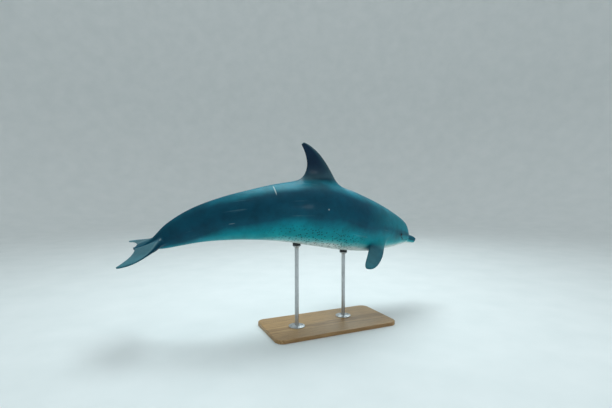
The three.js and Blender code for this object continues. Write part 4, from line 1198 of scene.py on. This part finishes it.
# %% Brushed stainless steel
# Rods and feet are brushed as they turn on a lathe, so the fine lines run round them and the highlight spreads
# along. Brush lines are 0.1 mm apart, drawn at 1 mm so that they show.
steel, t, shader = new_material("brushed_stainless_steel", Metallic=1.0)
spot = add_node(t, "ShaderNodeTexCoord").outputs["Object"]
stretched = add_node(t, "ShaderNodeMapping", {"Vector": spot, "Scale": (14.0, 14.0, 950.0)})
brushed = add_node(t, "ShaderNodeTexNoise", {"Vector": stretched, "Scale": 1.0, "Detail": 3.0})
cloudy = add_node(t, "ShaderNodeTexNoise", {"Vector": spot, "Scale": 22.0, "Detail": 4.0})
tone = {0: brushed, MIX_A: colour("#b4b6b8"), MIX_B: colour("#cfd1d2")}
tone = add_node(t, "ShaderNodeMix", tone, **COLOURS).outputs[MIX_OUT]
tarnish = add_node(t, "ShaderNodeValToRGB", {0: cloudy}, [(0.3, 0.82), (0.6, 1.0)])
tone = add_node(t, "ShaderNodeMix", {0: 1.0, MIX_A: tone, MIX_B: tarnish.outputs[0]}, **TINTED)
dull = add_node(t, "ShaderNodeMapRange", {"Value": brushed, "To Min": 0.26, "To Max": 0.42})
brush_bump = add_node(t, "ShaderNodeBump", {"Strength": 0.25, "Distance": 0.0002, "Height": brushed})
dress(t, shader, tone.outputs[MIX_OUT], dull, brush_bump)
print(f"The steel's material has {len(t.nodes)} nodes")

# %% Cold-formed screw steel
# A screw's head is pressed and polished, and darker in tone than the brushed steel round it.
screw_steel, t, shader = new_material("polished_screw_steel", Metallic=1.0)
spot = add_node(t, "ShaderNodeTexCoord").outputs["Object"]
handled = add_node(t, "ShaderNodeTexNoise", {"Vector": spot, "Scale": 240.0, "Detail": 3.0})
tone = add_node(t, "ShaderNodeValToRGB", {0: handled}, [(0.3, "#8f9294"), (0.7, "#b9bcbe")])
dull = add_node(t, "ShaderNodeMapRange", {"Value": handled, "To Min": 0.18, "To Max": 0.34})
dress(t, shader, tone, dull)
print(f"The screws' material has {len(t.nodes)} nodes")

# %% Moulded rubber
# Moulded neoprene is matt and dark, with a leathery mould grain of 0.8 mm that is drawn at 2 mm.
rubber, t, shader = new_material("moulded_neoprene", IOR=1.52)
spot = add_node(t, "ShaderNodeTexCoord").outputs["Object"]
leathery = add_node(t, "ShaderNodeTexVoronoi", {"Vector": spot, "Scale": 500.0})
dusty = add_node(t, "ShaderNodeTexNoise", {"Vector": spot, "Scale": 40.0, "Detail": 4.0})
tone = add_node(t, "ShaderNodeValToRGB", {0: dusty}, [(0.35, "#191a1c"), (0.7, "#2a2b2d")])
dull = add_node(t, "ShaderNodeMapRange", {"Value": dusty, "To Min": 0.62, "To Max": 0.82})
rubber_bump = add_node(t, "ShaderNodeBump", {"Strength": 0.4, "Distance": 0.0004, "Height": leathery})
dress(t, shader, tone, dull, rubber_bump)
print("Finishes:", [m.name for m in (flesh, glass_eye, oak, steel, screw_steel, rubber)])

# %% [markdown]
# # Screws by Geometry Nodes
# Four domed socket screws hold each flange. What repeats on a circle is best made by Geometry Nodes: one circle of
# points, one screw copied to each of them, and a random turn, because no two screws stop at the same angle. The
# copies are made real at the end, so that the result is a plain mesh.

# %% One screw
HEAD_RADIUS, HEAD_HEIGHT, SOCKET_RADIUS, SOCKET_DEPTH = 0.0062, 0.0032, 0.0023, 0.002
SUNK, SOCKET_TOP, SCREW_SEGMENTS = 0.0006, 0.97 * HEAD_HEIGHT, 24


def screw_shape():
    dome = [(HEAD_RADIUS * np.cos(a), HEAD_HEIGHT * np.sin(a)) for a in np.linspace(0, np.pi / 2, 7)[:-2]]
    angles = np.arange(SCREW_SEGMENTS) * 2 * np.pi / SCREW_SEGMENTS
    half_side = np.pi / 6  # the socket is a hexagon
    hexagon = SOCKET_RADIUS / np.cos(angles % (2 * half_side) - half_side)
    loops = [(np.full(SCREW_SEGMENTS, radius), z) for radius, z in [(HEAD_RADIUS, -SUNK)] + dome]
    loops += [(hexagon, SOCKET_TOP), (hexagon, SOCKET_TOP - SOCKET_DEPTH)]
    vertices = [[r * np.cos(a), r * np.sin(a), z] for radii, z in loops for r, a in zip(radii, angles)]
    rings = rings_of(len(loops), SCREW_SEGMENTS)
    return vertices, faces_between(rings) + [list(rings[-1]), list(rings[0])[::-1]]


screw = make_piece("screw_pattern", *screw_shape(), 30)
print(f"A screw of {len(screw.data.polygons)} faces")

# %% The tree that sets them on a circle
SCREW_INPUTS = {
    "Screw": "Object", "Count": "Int", "Circle Radius": "Float",
    "Centre": "Vector", "Seed": "Int", "Finish": "Material",
}
FULL_TURN = 6.283
tree = bpy.data.node_groups.new("screws_on_a_circle", "GeometryNodeTree")
tree.interface.new_socket("Geometry", in_out="OUTPUT", socket_type="NodeSocketGeometry")
for name, kind in SCREW_INPUTS.items():
    tree.interface.new_socket(name, in_out="INPUT", socket_type="NodeSocket" + kind)
given = add_node(tree, "NodeGroupInput").outputs
circle = {"Vertices": given["Count"], "Radius": given["Circle Radius"]}
circle = add_node(tree, "GeometryNodeMeshCircle", circle)
placed = add_node(tree, "GeometryNodeTransform", {"Geometry": circle, "Translation": given["Centre"]})
pattern = add_node(tree, "GeometryNodeObjectInfo", {"Object": given["Screw"]})
chance = add_node(tree, "FunctionNodeRandomValue", {2: 0.0, 3: FULL_TURN, "Seed": given["Seed"]}, data_type="FLOAT")
turn = add_node(tree, "ShaderNodeCombineXYZ", {"Z": chance.outputs[1]})
setting = {"Points": placed, "Instance": pattern.outputs["Geometry"], "Rotation": turn}
copies = add_node(tree, "GeometryNodeInstanceOnPoints", setting)
real = add_node(tree, "GeometryNodeRealizeInstances", {"Geometry": copies})
finish = add_node(tree, "GeometryNodeSetMaterial", {"Geometry": real, "Material": given["Finish"]})
add_node(tree, "NodeGroupOutput", {"Geometry": finish})
print(f"A tree of {len(tree.nodes)} nodes")

# %% Setting the screws
SCREWS, SCREW_CIRCLE, FIRST_SEED = 4, 0.042, 3
screw_pieces = []
for seed, end in enumerate(("front", "rear"), FIRST_SEED):
    (x, y), _, bottom, _ = box_of(f"stand_flange_{end}")
    holder = make_piece(f"stand_screws_{end}", [(0, 0, 0)], [])
    modifier = holder.modifiers.new("screws", "NODES")
    modifier.node_group = tree
    wanted = {"Screw": screw, "Count": SCREWS, "Circle Radius": SCREW_CIRCLE, "Seed": seed, "Finish": screw_steel}
    wanted["Centre"] = (float(x), float(y), float(bottom) + SEAT)
    for socket in tree.interface.items_tree:
        if socket.name in wanted:
            modifier[socket.identifier] = wanted[socket.name]
    bpy.context.view_layer.update()
    result = holder.evaluated_get(bpy.context.evaluated_depsgraph_get())
    mesh = bpy.data.meshes.new_from_object(result)
    holder.modifiers.remove(modifier)
    holder.data = mesh
    screw_pieces.append(holder)
    print(holder.name, f"{len(mesh.polygons)} faces")
bpy.data.objects.remove(screw)

# %% [markdown]
# # Putting the pieces on the frame
# Every piece rides on the one still body and stands for the CAD solids it covers. The skin replaces thirteen solids
# at once, from the head to the flukes and the flippers, and so no cut between them shows.

# %% Riding and replacing
FLESH = [
    "head", "jaw_lower", "beak_upper", "chest", "belly", "tail_stock_front", "tail_stock_rear", "tail_root",
    "dorsal_fin", "fluke_left", "fluke_right", "flipper_left", "flipper_right",
]
FINISHES = {"steel": steel, "rubber": rubber}


def put_on(piece, material, slot, *nodes):
    piece.data.materials.clear()
    piece.data.materials.append(material)
    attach(piece, "root")
    if nodes:
        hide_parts(*nodes)


put_on(dolphin, flesh, "body_skin", *FLESH)
for eye, node in eyes:
    put_on(eye, glass_eye, "eye", node)
put_on(slab, oak, "stand_wood", "stand_base")
for piece, node, finish_name in stand_pieces:
    put_on(piece, FINISHES[finish_name], "stand_steel", node)
for piece in screw_pieces:
    put_on(piece, screw_steel, "stand_steel")
print(f"{1 + len(eyes) + 1 + len(stand_pieces) + len(screw_pieces)} pieces on the frame")

# %% [markdown]
# # Floor, light and camera
# A studio cove is a floor that curves up into its wall, so that no line shows behind the animal. A large soft light
# from above gives the back a bright strip and leaves the flank dark, as light from the water's surface does. A
# smaller lamp in front fills the shadows and leaves a highlight in the eye, and a third one lights the far edge.

# %% The cove
FLAT_RADIUS, BEND_RADIUS, WALL = 8.0, 4.0, 14.0
turn = np.linspace(0, np.pi / 2, 13)
profile = [(0, 0), (3.0, 0), (6.0, 0)]
profile += [(FLAT_RADIUS + BEND_RADIUS * np.sin(a), BEND_RADIUS - BEND_RADIUS * np.cos(a)) for a in turn]
profile += [(FLAT_RADIUS + BEND_RADIUS, WALL)]
vertices, faces = turned(profile, 96)
cove = make_piece("studio_floor", vertices, [face[::-1] for face in faces])
paper, t, shader = new_material("matt_studio_paper", Roughness=0.85)
spot = add_node(t, "ShaderNodeTexCoord").outputs["Object"]
fibre = add_node(t, "ShaderNodeTexNoise", {"Vector": spot, "Scale": 3.0, "Detail": 5.0})
tone = add_node(t, "ShaderNodeValToRGB", {0: fibre}, [(0.3, "#e4e7e7"), (0.7, "#eaecec")])
dress(t, shader, tone)
cove.data.materials.append(paper)
print(f"A cove {2 * (FLAT_RADIUS + BEND_RADIUS):.0f} m across")


# %% Lights
def soft_light(name, place, aim, size, power, tint):
    lamp = bpy.data.lights.new(name, "AREA")
    lamp.shape, lamp.size, lamp.energy, lamp.color = "DISK", size, power, colour(tint)[:3]
    light = bpy.data.objects.new(name, lamp)
    light.location = place
    light.visible_camera = False  # a lamp never shows as a disc behind the model
    light.rotation_euler = (Vector(aim) - Vector(place)).to_track_quat("-Z", "Y").to_euler()
    bpy.context.scene.collection.objects.link(light)


# Name, place, aim, width in metres, power in watts and tint.
LAMPS = [
    ("overhead", (0.1, 0.9, 4.4), (0, 0.2, 0.8), 2.6, 120, "#e9fbff"),
    ("fill", (1.7, -5.6, 2.3), (0, 0, 0.8), 1.2, 36, "#eef8ff"),
    ("rim", (2.6, 3.8, 3.0), (0, 0.1, 0.9), 2.0, 22, "#e9fbff"),
]
for lamp in LAMPS:
    soft_light(*lamp)
world = bpy.data.worlds.new("pale_room")
world.use_nodes = True
background = world.node_tree.nodes["Background"].inputs
background["Color"].default_value, background["Strength"].default_value = colour("#e6eff1"), 0.8
bpy.context.scene.world = world
bpy.context.scene.view_settings.view_transform = "Standard"  # colours come out as they were picked
print(f"{len(LAMPS)} lamps and a pale room")

# %% Camera
CAMERA_PLACE, CAMERA_AIM, LENS = (-1.3413, -2.5882, 1.0088), (0.413, 0.911, -0.042), 23.53
lens = bpy.data.cameras.new("camera")
lens.lens, lens.sensor_width, lens.sensor_fit, lens.clip_end = LENS, 36.0, "HORIZONTAL", 60.0
camera = bpy.data.objects.new("camera", lens)
camera.location = CAMERA_PLACE
camera.rotation_euler = Vector(CAMERA_AIM).to_track_quat("-Z", "Y").to_euler()
bpy.context.scene.collection.objects.link(camera)
bpy.context.scene.camera = camera
print(f"Camera {CAMERA_PLACE[2]:.2f} m above the floor")

# %% [markdown]
# Sizes
# The scene is brought up to date at the end, so that each piece has its final size and place.

# %% Sizes
bpy.context.view_layer.update()
